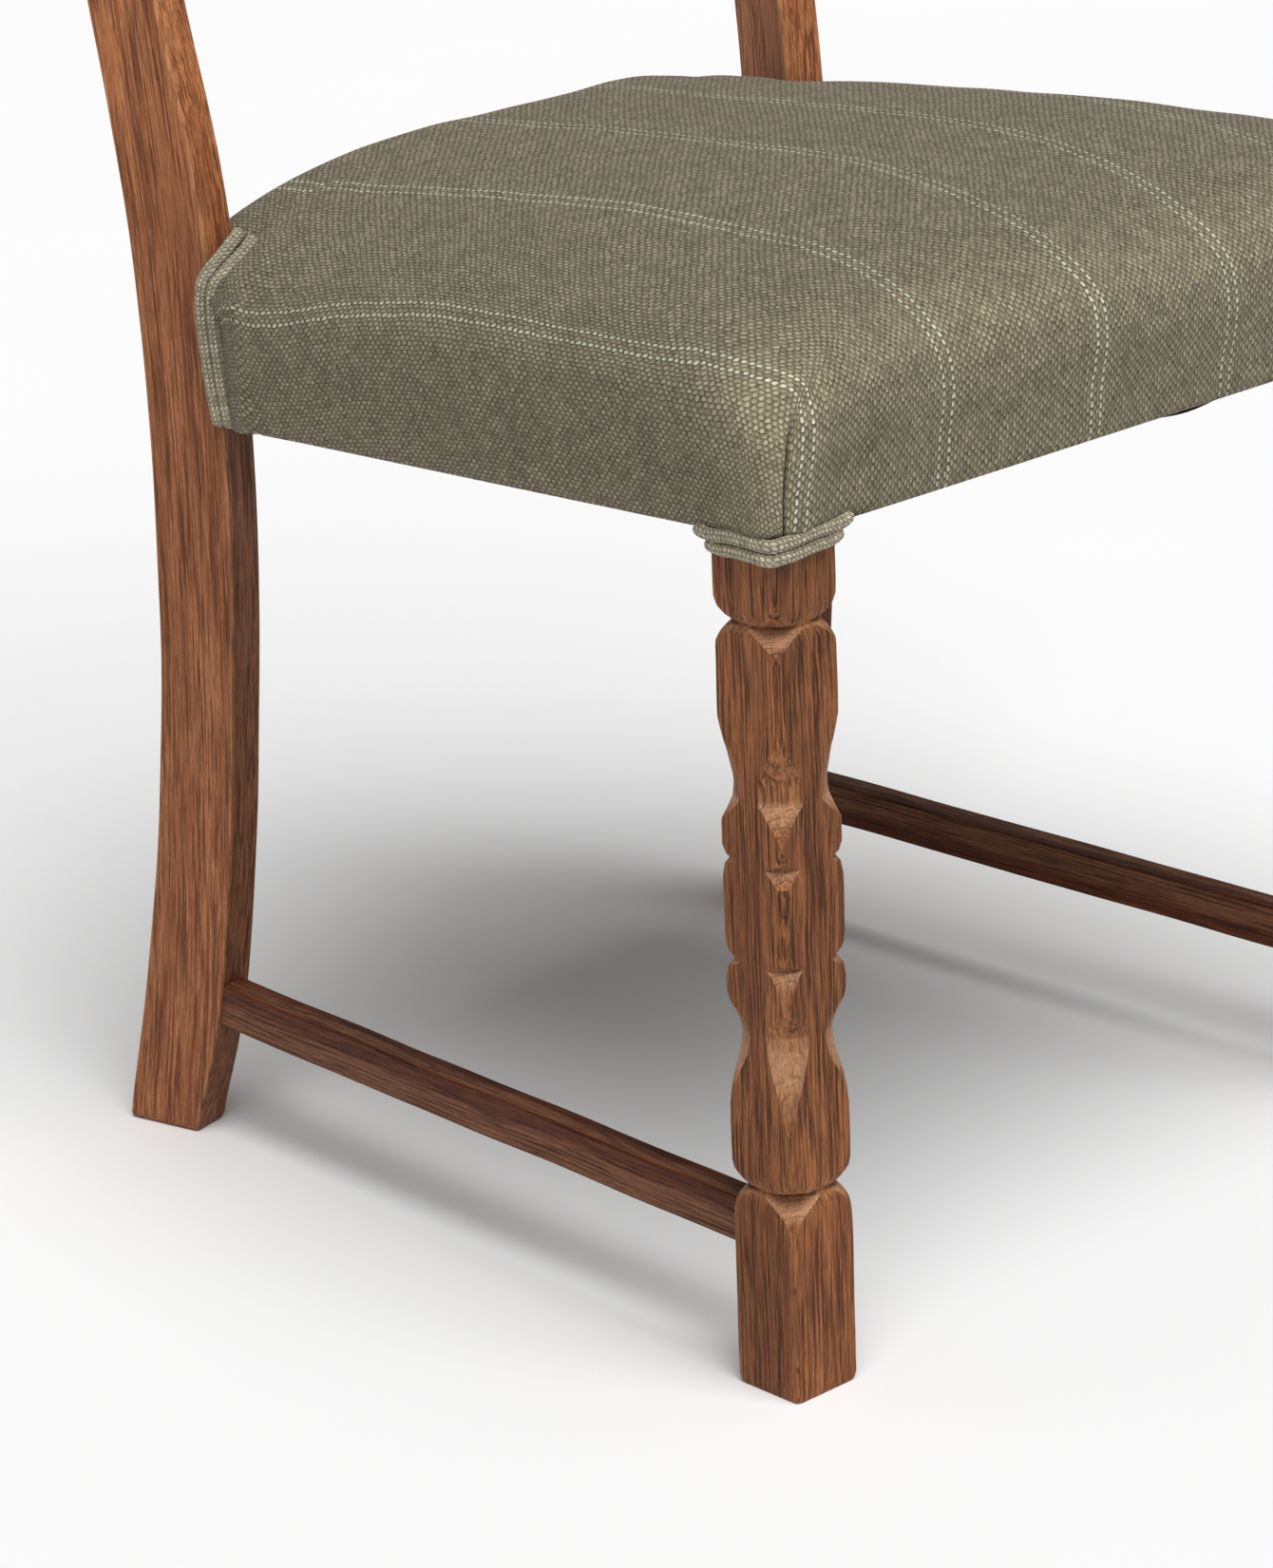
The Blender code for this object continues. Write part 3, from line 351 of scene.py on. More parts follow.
def plain_wood(name, light, dark):
    """The frame's hidden wood, with its own soft grain and saw marks."""
    made, tree, shader = new_material(name, roughness=0.7, specular=0.3)
    x, y, z = coordinates(tree)
    grain = cloud(tree, vector(tree, x * 60, y * 60, z * 240), detail=3.0, distortion=0.6)
    saw = cloud(tree, vector(tree, x * 420, y * 420, z * 30), detail=1.0)
    colour = blend(tree, grain.step(0.35, 0.65), light, dark)
    dress(tree, shader, colour, grain.step(0.3, 0.7, 0.6, 0.8), grain + saw * 0.3, 0.0003)
    return made


def threads(name, light, dark, pitch, roughness=0.9):
    """A small plain weave in the object's own X and Y, for webbing, hessian and dust cover."""
    made, tree, shader = new_material(name, roughness=roughness, specular=0.2)
    x, y, z = coordinates(tree)
    across = (x * (math.pi / pitch)).sine()
    along = (y * (math.pi / pitch)).sine()
    height = (across * along) * 0.5 + 0.5
    patch = cloud(tree, vector(tree, x * 300, y * 300, z * 300), detail=3.0)
    # Darker in the weave's dips, painted shade between the threads, and in random patches
    colour = blend(tree, height * patch.step(0.2, 0.8, 0.5, 1.0), dark, light)
    dress(tree, shader, colour, patch.step(0.2, 0.8, roughness - 0.1, roughness), height, pitch * 0.2)
    return made


def steel(name):
    """Zinc-plated screws, a little dull and stained."""
    made, tree, shader = new_material(name, roughness=0.35)
    shader.inputs["Metallic"].default_value = 1.0
    x, y, z = coordinates(tree)
    stain = cloud(tree, vector(tree, x * 500, y * 500, z * 500), detail=3.0)
    colour = blend(tree, stain.step(0.4, 0.7), (0.55, 0.54, 0.5), (0.3, 0.27, 0.22))
    dress(tree, shader, colour, stain.step(0.3, 0.7, 0.28, 0.5), stain, 0.0001)
    return made


# --- building pieces

def skin(name, rings, closed_ends=True, attributes=None, mirror=False):
    """A mesh through rings of equal point count, each turning anticlockwise seen from its far end."""
    levels, count = rings.shape[:2]
    index = np.arange(levels * count).reshape(levels, count)
    after = np.roll(index, -1, axis=1)
    faces = np.stack((index[:-1], after[:-1], after[1:], index[1:]), axis=-1).reshape(-1, 4).tolist()
    if closed_ends:
        faces += [index[0][::-1].tolist(), index[-1].tolist()]
    return solid(name, rings.reshape(-1, 3), faces, attributes, mirror)


def solid(name, points, faces, attributes=None, mirror=False):
    """An object from points and faces, with its named attributes, mirrored for the right-hand side."""
    points = np.array(points, float)
    if mirror:
        points = points * (-1, 1, 1)
        faces = [face[::-1] for face in faces]
    data = bpy.data.meshes.new(name)
    data.from_pydata(points.tolist(), [], faces)
    for key, values in (attributes or {}).items():
        values = np.array(values, float)
        if values.ndim == 1:
            data.attributes.new(key, "FLOAT", "POINT").data.foreach_set("value", values)
        else:
            stored = data.attributes.new(key, "FLOAT_VECTOR", "POINT")
            stored.data.foreach_set("vector", values.ravel())
    obj = bpy.data.objects.new(name, data)
    bpy.context.scene.collection.objects.link(obj)
    return obj


def settle(obj, finish, replaced=(), crisp=None):
    """Gives a piece its material, shading and body, and hides the CAD nodes it stands for."""
    obj.data.materials.append(finish)
    obj.data.shade_smooth()
    if crisp:
        obj.data.set_sharp_from_angle(angle=math.radians(crisp))
    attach(obj, ROOT)
    if replaced:
        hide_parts(*replaced)
    return obj


WANDER_DRAW = 5
noise.seed_set(WANDER_DRAW)  # without this, Blender's noise_vector takes its offsets from the clock


def wander(points, size, pitch, seed):
    """Slow random offsets for points, in metres: what a hand tool leaves."""
    shift = Vector((seed, seed * 0.7, -seed))
    return np.array([noise.noise_vector(Vector(point) / pitch + shift) for point in points]) * size


def smooth(values, width):
    """A running mean that keeps the ends."""
    kernel = np.ones(width) / width
    padded = np.pad(values, width // 2, mode="reflect", reflect_type="odd")
    return np.convolve(padded, kernel, mode="valid")


# --- carved front legs

CORNERS = ((1, 1), (-1, 1), (-1, -1), (1, -1))
ARC_STEPS = 8
LEG_STEP = 1.6 * MM
LEG_CRISP = 13  # degrees between faces that leave a crisp edge on a carved leg
ARRIS_CRISP = 35
FACE_SHARES = (0.012, 0.05, 0.28, 0.5, 0.72, 0.95, 0.988)  # where a face has points between its corners
# Width of the cut across the corner that faces the camera, by height above the floor
NEAR_CUT = np.array((
    (0, 3.2), (1.5, 2.0), (4, 1.2), (14, 1.4), (16, 2.2), (18, 1.2), (48, 1.0), (53, 1.8), (58, 1.0),
    (74, 1.2), (79, 3.4), (83.3, 6.6), (87.6, 14), (90.8, 22), (92.6, 24), (93.6, 22), (94.2, 17),
    (95.6, 11), (97.5, 7.5), (100.5, 3.4), (105, 1.6), (121, 1.2), (124, 1.8), (127, 3.9), (138, 8.2),
    (149, 13.6), (154.5, 15.6), (160, 17.4), (166.5, 18.4), (170.5, 15.5), (173, 11.2), (176.5, 7.6),
    (182, 7.0), (188, 7.6), (191, 8.9), (194, 11.8), (195.9, 15.5), (196.6, 15.5), (197.4, 10.7),
    (199.5, 7.4), (204, 6.2), (212, 5.4), (221, 3.6), (226, 1.8), (229.5, 1.0), (231.5, 2.6),
    (233.8, 5.3), (237, 9.2), (240.4, 14.2), (241.2, 14.5), (242, 10.5), (243.5, 6.8), (246, 4.6),
    (249.5, 2.6), (252, 1.0), (254, 1.0), (257.8, 5.2), (261.6, 9.8), (266, 15.0), (268, 18.4),
    (271, 18.6), (276, 18.2), (280.5, 16.6), (285, 13.4), (290, 9.6), (295, 6.6), (301, 4.6), (318, 4.6),
    (331, 4.2), (333.5, 2.6), (337, 6.4), (340, 13), (342.7, 20), (344.6, 22), (345.8, 20), (346.6, 13),
    (348.3, 8.5), (351.5, 5.4), (355.5, 3.0), (360, 1.4), (372, 1.0), (433, 1.0),
)) * MM
# Depth of the cut at the other corners, by height above the floor
FAR_CUT = np.array((
    (0, 1.6), (1.5, 0.9), (4, 0.35), (74, 0.35), (80, 0.5), (83, 0.8), (86.5, 1.7), (89, 2.8),
    (91.5, 4.4), (93.4, 5.8), (95.2, 4.2), (98, 2.5), (100.4, 1.1), (104, 0.4), (120, 0.35), (130, 0.4),
    (137, 1.2), (143, 2.3), (150, 4.3), (155, 5.5), (163, 6.5), (166, 6.2), (171, 4.7), (174, 3.1),
    (177, 1.5), (181, 0.5), (187, 0.4), (192, 1.1), (195.5, 3.8), (196.5, 4.2), (197.6, 3.2),
    (199.5, 1.8), (202, 0.7), (207, 0.35), (228, 0.35), (233, 0.4), (238, 1.3), (240.6, 3.6),
    (241.6, 3.2), (243, 1.8), (247, 0.4), (256, 0.35), (258, 0.5), (263, 3.1), (268, 5.4), (274, 6.1),
    (278, 5.8), (283, 4.8), (288, 3.8), (293, 2.4), (298, 1.3), (303, 0.4), (333, 0.35), (336, 0.6),
    (340, 2.6), (343, 4.6), (345.5, 5.5), (347, 4.2), (349, 2.8), (351, 1.6), (355, 0.45), (361, 0.35),
    (433, 0.3),
)) * MM
# How far the two cuts that run round the faces go in
GROOVES = np.array((
    (0, 0.5), (1.2, 0.12), (3.5, 0), (86, 0), (88.5, 0.25), (90.5, 0.7), (92.2, 1.4), (93.3, 2.3),
    (93.9, 2.3), (94.6, 1.3), (95.8, 0.6), (98.5, 0.1), (101, 0), (338.5, 0), (340.8, 0.25),
    (342.8, 0.75), (344.4, 1.5), (345.3, 2.3), (345.9, 2.3), (346.6, 1.3), (347.8, 0.6), (350.5, 0.1),
    (353, 0), (433, 0),
)) * MM
# The stain of the legs' front faces, by height above the floor
FRONT_TONE = np.array(((0, 1.1), (0.09, 1.1), (0.14, 0.84), (0.3, 0.8), (0.43, 0.74)))
NEAR_ROUND = 1.15  # how far a cut spreads past a flat chamfer of the same depth
FAR_ROUND = 1.5


def table_at(table, heights):
    return np.interp(heights, table[:, 0], table[:, 1])


def corner_arc(half, sx, sy, cut, spread):
    """Points across one cut corner, in anticlockwise order: a shallow curve with crisp ends."""
    reach = min(cut * math.sqrt(2) * spread, half * 0.96)
    deep = half - cut / math.sqrt(2)
    start, end = np.array((sx * half, sy * (half - reach))), np.array((sx * (half - reach), sy * half))
    if sx * sy < 0:
        start, end = end, start
    handle = 2 * np.array((sx * deep, sy * deep)) - (start + end) / 2
    share = np.linspace(0, 1, ARC_STEPS + 1)[:, None]
    return (1 - share) ** 2 * start + 2 * share * (1 - share) * handle + share ** 2 * end


def leg_ring(half, cuts, spreads, upward_light):
    """Plan of a leg at one height, and how pale the wood is at each point: bare on the cuts, with painted
    light on cuts that face up.
    """
    arcs = [corner_arc(half, sx, sy, cut, spread) for (sx, sy), cut, spread in zip(CORNERS, cuts, spreads)]
    points, bare_and_lit = [], []
    for arc, following in zip(arcs, arcs[1:] + arcs[:1]):
        points += list(arc)
        width = np.linalg.norm(arc[-1] - arc[0])
        facet = float(np.interp(width, (4 * MM, 12 * MM), (0.15, 1))) * upward_light
        rim = 0.45 if width < 3 * MM else 0.3
        bare_and_lit += [max(rim, facet)] + [facet] * (ARC_STEPS - 1) + [max(rim, facet)]
        for share in FACE_SHARES:
            points.append(arc[-1] + (following[0] - arc[-1]) * share)
            bare_and_lit.append(0.0)
    return np.array(points), np.array(bare_and_lit)


def front_leg(side_name, mirror, seed):
    knots = [table[:, 0] for table in (NEAR_CUT, FAR_CUT, GROOVES)]
    heights = np.unique(np.round(np.concatenate([*knots, np.arange(0, LEG_TOP, LEG_STEP)]), 5))
    near = table_at(NEAR_CUT, heights) / 2 / NEAR_ROUND
    far = table_at(FAR_CUT, heights)
    inset = table_at(GROOVES, heights)
    # A hand-cut leg repeats its figure at each corner, a little higher or lower
    lifts = [table_at(FAR_CUT, heights + shift * MM) for shift in (0.6, 0.0, -0.7)]
    # A cut that widens upwards faces the light and gets painted light, so it is pale; its upper half stays
    # darker
    upward_light = np.interp(table_at(NEAR_CUT, heights + 1.2 * MM) - table_at(NEAR_CUT, heights - 1.2 * MM),
                         (-0.1 * MM, 0.7 * MM), (0.3, 1))
    rings, bare_and_lit, tone = [], [], []
    for i, height in enumerate(heights):
        cuts = (lifts[0][i], far[i], near[i], lifts[2][i] if mirror else far[i])
        half = LEG_HALF - inset[i]
        plan, wood = leg_ring(half, cuts, (FAR_ROUND, FAR_ROUND, NEAR_ROUND, FAR_ROUND), upward_light[i])
        front_face = plan[:, 1] < -LEG_HALF * 0.93
        tone.append(np.where(front_face, table_at(FRONT_TONE, height), 1.0))
        rings.append(np.column_stack((plan[:, 0] + LEG_X, plan[:, 1] + LEG_Y, np.full(len(plan), height))))
        cut_round = min(1.0, inset[i] / (1.2 * MM))
        bare_and_lit.append(np.maximum(wood, cut_round * 0.4))
    rings = np.array(rings)
    flat = rings.reshape(-1, 3)
    grain = flat - (LEG_X, LEG_Y, seed * 0.37)
    shift = wander(flat, 0.45 * MM, 30 * MM, seed)
    shift[:, 2] *= 0.3
    shift[flat[:, 2] < 0.5 * MM, 2] = 0
    obj = skin(f"carved_leg_{side_name}", (flat + shift).reshape(rings.shape), True,
               {"grain": grain, "wear_and_painted_light": np.concatenate(bare_and_lit), "tone": np.concatenate(tone)}, mirror)
    return settle(obj, FINISH["leg"], [f"front_leg_{side_name}"], LEG_CRISP)


# --- rear posts

def rounded_plan(low_x, high_x, low_y, high_y, radius, steps=5):
    """Points of a rounded rectangle, anticlockwise, and 1 where they lie on its corners."""
    points, rim = [], []
    centres = ((high_x - radius, high_y - radius, 0), (low_x + radius, high_y - radius, 90),
               (low_x + radius, low_y + radius, 180), (high_x - radius, low_y + radius, 270))
    arcs = []
    for x, y, start in centres:
        angles = np.radians(start + np.linspace(0, 90, steps + 1))
        arcs.append(np.column_stack((x + radius * np.cos(angles), y + radius * np.sin(angles))))
    for arc, following in zip(arcs, arcs[1:] + arcs[:1]):
        points += list(arc)
        rim += [1.0] * len(arc)
        for share in FACE_SHARES:
            points.append(arc[-1] + (following[0] - arc[-1]) * share)
            rim.append(0.0)
    return np.array(points), np.array(rim)


def end_ease(position, length, radius):
    """How far a section draws in near either end, for a rounded-over end."""
    near = min(position, length - position)
    if near >= radius:
        return 0.0
    return radius - math.sqrt(max(radius ** 2 - (radius - near) ** 2, 0.0))


# How much darker or lighter the posts are painted, by height: on their front face, and elsewhere. The front
# face below the seat is painted shade from the seat, and the post above the seat is painted light.
POST_PAINTED_LIGHT = np.array(((0, 0.72, 1.15), (0.1, 0.62, 1.05), (0.37, 0.6, 1.0), (0.43, 1.15, 1.12),
                      (0.5, 1.5, 1.3), (0.95, 1.5, 1.35)))
POST_STEP = 4 * MM
POST_ARRIS = 1.5 * MM
POST_END_ROUND = 3.2 * MM


def rear_post(side_name, mirror, seed):
    edges = cad_edges("rear_leg_left")
    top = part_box("rear_leg_left")[1].z
    body = np.arange(6 * MM, top - POST_STEP, POST_STEP)
    foot, head = np.array((0, 0.4, 1.2, 2.4, 3.6)) * MM, top - np.array((3.6, 2.2, 1, 0)) * MM
    heights = np.concatenate((foot, body, head))
    reach = np.array([reach_at(edges, min(max(h, 2.5 * MM), top - 2.5 * MM), BACKWARD) for h in heights])
    sides = np.array([reach_at(edges, min(max(h, 20 * MM), top - 20 * MM), INWARD) for h in heights])
    front, back = smooth(reach[:, 0], 5), smooth(reach[:, 1], 5)
    outer, inner = sides[:, 0].min(), sides[:, 1].max()
    middle = (front + back) / 2
    rings, rims, grain, tone = [], [], [], []
    for i, height in enumerate(heights):
        ease = end_ease(height, top, POST_END_ROUND)
        plan, rim = rounded_plan(outer + ease, inner - ease, front[i] + ease, back[i] - ease, POST_ARRIS)
        across, along = plan[:, 0], plan[:, 1]
        place = np.outer(across, INWARD) + np.outer(along, BACKWARD)
        place[:, 2] = height
        rings.append(place)
        rims.append(rim * 0.35)
        # The front face below the seat is painted shade; above the seat the post is painted light
        on_front = np.clip((front[i] + 1.2 * MM - along) / (1 * MM), 0, 1)
        dark = np.interp(height, POST_PAINTED_LIGHT[:, 0], POST_PAINTED_LIGHT[:, 1])
        tone.append(np.interp(height, POST_PAINTED_LIGHT[:, 0], POST_PAINTED_LIGHT[:, 2]) * (1 - on_front) + dark * on_front)
        grain.append(np.column_stack((across, along - 0.55 * middle[i], np.full(len(plan), height))))
    rings = np.array(rings)
    flat = rings.reshape(-1, 3)
    shift = wander(flat, 0.35 * MM, 60 * MM, seed)
    shift[:, 2] = 0
    obj = skin(f"rear_post_{side_name}", (flat + shift).reshape(rings.shape), True,
               {"grain": np.concatenate(grain) + (seed, 0, 0), "wear_and_painted_light": np.concatenate(rims),
                "tone": np.concatenate(tone)}, mirror)
    return settle(obj, FINISH["post"], [f"rear_leg_{side_name}"], ARRIS_CRISP)


# --- stretchers

def bar_frame(node):
    """Centre, axes (long, middle, short) and half sizes of a CAD bar."""
    points = np.unique(np.round(cad_points(node), 6), axis=0)
    centre = (points.min(0) + points.max(0)) / 2
    _, _, axes = np.linalg.svd(points - points.mean(0), full_matrices=False)
    axes = np.array([axis * (1 if axis[np.argmax(np.abs(axis))] > 0 else -1) for axis in axes])
    reach = (points - centre) @ axes.T
    centre = centre + ((reach.min(0) + reach.max(0)) / 2) @ axes
    return centre, axes, (reach.max(0) - reach.min(0)) / 2


BAR_ARRIS = 1.1 * MM
BAR_RINGS = 61


def stretcher(side_name, mirror, seed):
    node = "side_stretcher_left"
    centre, (long, tall, thin), (run, height, width) = bar_frame(node)
    plan, rim = rounded_plan(-width, width, -height, height, BAR_ARRIS, steps=3)
    rings, rims, grain = [], [], []
    for along in np.linspace(-run, run, BAR_RINGS):
        place = centre + along * long + np.outer(plan[:, 0], thin) + np.outer(plan[:, 1], tall)
        rings.append(place)
        rims.append(rim * 0.25)
        grain.append(np.column_stack((plan[:, 0], plan[:, 1], np.full(len(plan), along))))
    rings = np.array(rings)
    if np.dot(np.cross(thin, tall), long) < 0:
        rings = rings[:, ::-1]
        grain = [part[::-1] for part in grain]
    flat = rings.reshape(-1, 3)
    shift = wander(flat, 0.5 * MM, 60 * MM, seed)
    obj = skin(f"stretcher_{side_name}", (flat + shift).reshape(rings.shape), True,
               {"grain": np.concatenate(grain) + (seed, 0, 0), "wear_and_painted_light": np.concatenate(rims),
                "tone": np.ones(len(flat))}, mirror)
    return settle(obj, FINISH["stretcher"], [f"side_stretcher_{side_name}"], ARRIS_CRISP)


# --- seat cushion

COVER_PROUD = 12.5 * MM
HALF_WIDE = LEG_HALF - LEG_X + COVER_PROUD
FRONT = LEG_Y - LEG_HALF - COVER_PROUD
REAR = 408 * MM + LEG_Y
CROWN = 330 * MM + LEG_Y
# Outside of the cushion from the hem to the crown: inset from the widest outline, and height over the
# rails' underside
PROFILE = np.array((
    (6.6, -1.6), (5.8, 0.2), (5.0, 6), (3.7, 18), (1.8, 28), (0.5, 37), (0.5, 44), (1.8, 51), (5.0, 58),
    (10.5, 64.2), (19.2, 71.4), (30.5, 78.8), (45, 86.4), (60, 92.3), (80, 98.6), (100, 103.2),
    (120, 106.6),
    (140, 109.2), (170, 112), (205, 113.6), (HALF_WIDE / MM, 114),
)) * MM
# Underneath, from the hem inwards
TURNED_UNDER = np.array(((7.4, -2.3), (9.2, -2.6), (11.2, -2.2), (12.2, -1), (12.3, 4), (12.3, 40),
                         (12.6, 52.6), (16, 53.4), (60, 53.4), (150, 53.4), (HALF_WIDE / MM, 53.4))) * MM
# Radius of the front corners, by height over the rails' underside
CORNER_RADIUS = np.array(((-3, 11), (20, 12), (40, 15), (52, 21), (63, 32), (79, 58), (92, 92), (103, 130),
                          (114, 150))) * MM
SIDE_LIFT = 1.2 * MM  # how much higher the hem is at the seat's sides than in front
SLIT_PLACE = 2  # which of the corner's points the pleat opens at
STRIPE_PERIOD = 45
STRIPE_APART = 3
# Where the middles of the stripe pairs lie, in metres of cloth from the seat's middle
STRIPES = np.array((-484, -396, -308, -220, -136, -41.6, 41.2, 130, 218, 306, 394, 482)) * MM
YARN = 1.95 * MM
# How far the cloth is drawn outwards at the seat's edge, by distance along the shoulder past the corner pleat
STRIPE_BOW = np.array(((-60, -4), (-3, -4), (10, -1.5), (25, 3), (45, 7.5), (65, 9.5), (85, 9), (120, 5.5),
                       (170, 0.5), (230, -3.5), (300, -2), (360, 4), (410, 9), (470, 10))) * MM
SHOULDER = 70 * MM


def spaced(table, step):
    """A smooth curve through a table's points, at about even steps."""
    chord = np.concatenate(([0], np.cumsum(np.linalg.norm(np.diff(table, axis=0), axis=1))))
    fine = np.linspace(0, chord[-1], max(int(chord[-1] / step), 2) + 1)
    slopes = np.gradient(table, chord, axis=0)
    place = np.clip(np.searchsorted(chord, fine, side="right") - 1, 0, len(chord) - 2)
    gap = chord[place + 1] - chord[place]
    t = ((fine - chord[place]) / gap)[:, None]
    a, b = table[place], table[place + 1]
    m, n = slopes[place] * gap[:, None], slopes[place + 1] * gap[:, None]
    ease = 3 * t ** 2 - 2 * t ** 3
    return a * (1 - ease) + b * ease + m * (t ** 3 - 2 * t ** 2 + t) + n * (t ** 3 - t ** 2)


POST_EDGES = cad_edges("rear_leg_left")
POST_FRONT_AT_SEAT = reach_at(POST_EDGES, UNDERSIDE, BACKWARD)[0]
POST_OUT, POST_IN = reach_at(POST_EDGES, UNDERSIDE * 1.6, INWARD)
POST_CORNER = (INWARD * POST_OUT + BACKWARD * POST_FRONT_AT_SEAT)[:2]
FRONT_COUNT, CORNER_COUNT, SIDE_COUNT, PINCH_COUNT = 70, 29, 90, 14
SIDE_END = POST_CORNER + (-9 * MM, -24 * MM)
# The cover's plan where it is pulled in to the post, and on along the post's front
PINCH = np.array((SIDE_END, POST_CORNER + (-6 * MM, -15 * MM), POST_CORNER + (-2.4 * MM, -8 * MM),
                  POST_CORNER + (-0.8 * MM, -3 * MM), POST_CORNER + (0.6 * MM, 0)))
TUCK_X = POST_CORNER[0] + (POST_IN - POST_OUT) * 0.6
BACK_ROUND = 10 * MM
SIDE_CROWDING = 1.25  # how much closer the side's points lie towards the front
# How far the stuffing swells the shoulder: at the side's middle, where the post starts, and behind it
SIDE_SWELL, POST_SWELL, BACK_SWELL = 7, 10, 19
FRONT_SWELL = 3
CORNER_DRAW = np.array((2.5, 6)) * MM  # how far the front corner is drawn in, across the seat and back
CORNER_EASE = 24 * MM


def left_outline(radius):
    """Half of the seat's plan, from the middle of the front round the left to the middle of the back."""
    run = 1 - (1 - np.linspace(0, 1, FRONT_COUNT)) ** 1.5
    front = np.column_stack((-run * (HALF_WIDE - radius), np.full(FRONT_COUNT, FRONT)))
    angles = np.radians(np.linspace(0, 90, CORNER_COUNT + 2)[1:-1])
    corner = np.column_stack((-HALF_WIDE + radius - radius * np.sin(angles),
                              FRONT + radius - radius * np.cos(angles)))
    start = np.array((-HALF_WIDE, FRONT + radius))
    side = start + (SIDE_END - start) * np.linspace(0, 1, SIDE_COUNT)[:, None] ** SIDE_CROWDING
    pinch = spaced(PINCH, 1 * MM)
    pinch = pinch[np.linspace(0, len(pinch) - 1, PINCH_COUNT + 1).round().astype(int)][1:]
    for part in (front, corner, side):
        off_corner = (part - (-HALF_WIDE, FRONT)).sum(1)
        part += CORNER_DRAW * np.exp(-off_corner / CORNER_EASE)[:, None]
    tuck = np.array((TUCK_X, pinch[-1, 1] + 4 * MM))
    heel = np.array((TUCK_X, REAR - BACK_ROUND))
    into = pinch[-1] + (tuck - pinch[-1]) * np.linspace(0, 1, 6)[1:, None]
    behind = tuck + (heel - tuck) * np.linspace(0, 1, 10)[1:, None]
    turn = np.radians(np.linspace(0, 90, 8)[1:])
    round_off = heel + BACK_ROUND * np.column_stack((1 - np.cos(turn), np.sin(turn)))
    back = np.column_stack((np.linspace(TUCK_X + BACK_ROUND, 0, 40)[1:], np.full(39, REAR)))
    return np.vstack((front, corner, side, pinch, into, behind, round_off, back))


def fullness(count):
    """How far the stuffing pushes the shoulder out at each point of the outline."""
    full = np.zeros(count)
    side = slice(FRONT_COUNT + CORNER_COUNT, FRONT_COUNT + CORNER_COUNT + SIDE_COUNT)
    along = np.linspace(0, 1, SIDE_COUNT) ** SIDE_CROWDING
    full[side] = SIDE_SWELL * np.sin(math.pi * along) + POST_SWELL * np.clip((along - 0.9) / 0.1, 0, 1) ** 2
    full[side.stop:side.stop + PINCH_COUNT] = np.linspace(POST_SWELL, BACK_SWELL, PINCH_COUNT)
    full[side.stop + PINCH_COUNT:] = BACK_SWELL
    full[-44:] = np.linspace(BACK_SWELL, 0, 44)
    full[:FRONT_COUNT] = FRONT_SWELL * np.sin(math.pi * np.linspace(0.5, 1, FRONT_COUNT))
    return full * MM


def ring_at(inset, height):
    """Half a ring of the cushion: the outline drawn in towards the crown's middle line."""
    plan = left_outline(table_at(CORNER_RADIUS, height))
    full = fullness(len(plan))
    rise = np.interp(height, (50 * MM, 72 * MM), (0, 1))
    held = np.clip((full / MM - 8) / 3, 0, 1) * (1 - rise) * np.interp(inset, (7 * MM, 9 * MM), (1, 0))
    inset = inset * (1 - held) - full * rise * (1 - inset / HALF_WIDE)
    x = plan[:, 0] * (1 - inset / HALF_WIDE)
    y = CROWN + (plan[:, 1] - CROWN) * (1 - inset / (CROWN - FRONT))
    at_side = np.interp(y, (FRONT + 15 * MM, FRONT + 45 * MM), (0, 1))
    lift = SIDE_LIFT * at_side * np.interp(height, (0, 30 * MM), (1, 0))
    return np.column_stack((x, y, seat_plane(y) + height + lift))


# Folds beside the corner pleat: how far they stand out, where along the seat's edge, and how wide they are
FRONT_FOLDS = ((3.0, 10, 7), (-5.0, 36, 12))
SIDE_FOLDS = ((1.6, 8, 6), (-1.2, 27, 12))


def run_past(ring, slit):
    """Distance along half a ring past the corner pleat, for each of its points."""
    steps = np.linalg.norm(np.diff(ring[:, :2], axis=0), axis=1)
    run = np.concatenate(([0], np.cumsum(steps)))
    return run - run[slit]


def pleat(rings, heights, slit):
    """Adds the pleat at the front corner: a dark slit between two lips, and the folds that it pulls."""
    run = run_past(rings[-1], slit) / MM
    fold = np.zeros(len(run))
    for sign, folds in ((-1, FRONT_FOLDS), (1, SIDE_FOLDS)):
        for out, place, width in folds:
            fold += out * np.exp(-((run * sign - place) / width) ** 2) * (run * sign > -0.01)
    outward = np.array((-1, -1)) / math.sqrt(2)
    fade = np.interp(heights, np.array((8, 24, 40, 62)) * MM, (0.75, 1, 0.8, 0))
    rings[:, :, :2] += outward * (fade[:, None] * fold * MM)[:, :, None]
    deep = np.clip((48 * MM - heights) / (9 * MM), 0, 1) ** 0.7
    for offset, move in ((-1, -0.8), (0, -3.4), (1, -0.6)):
        rings[:, slit + offset, :2] += outward * (deep * move * MM)[:, None]


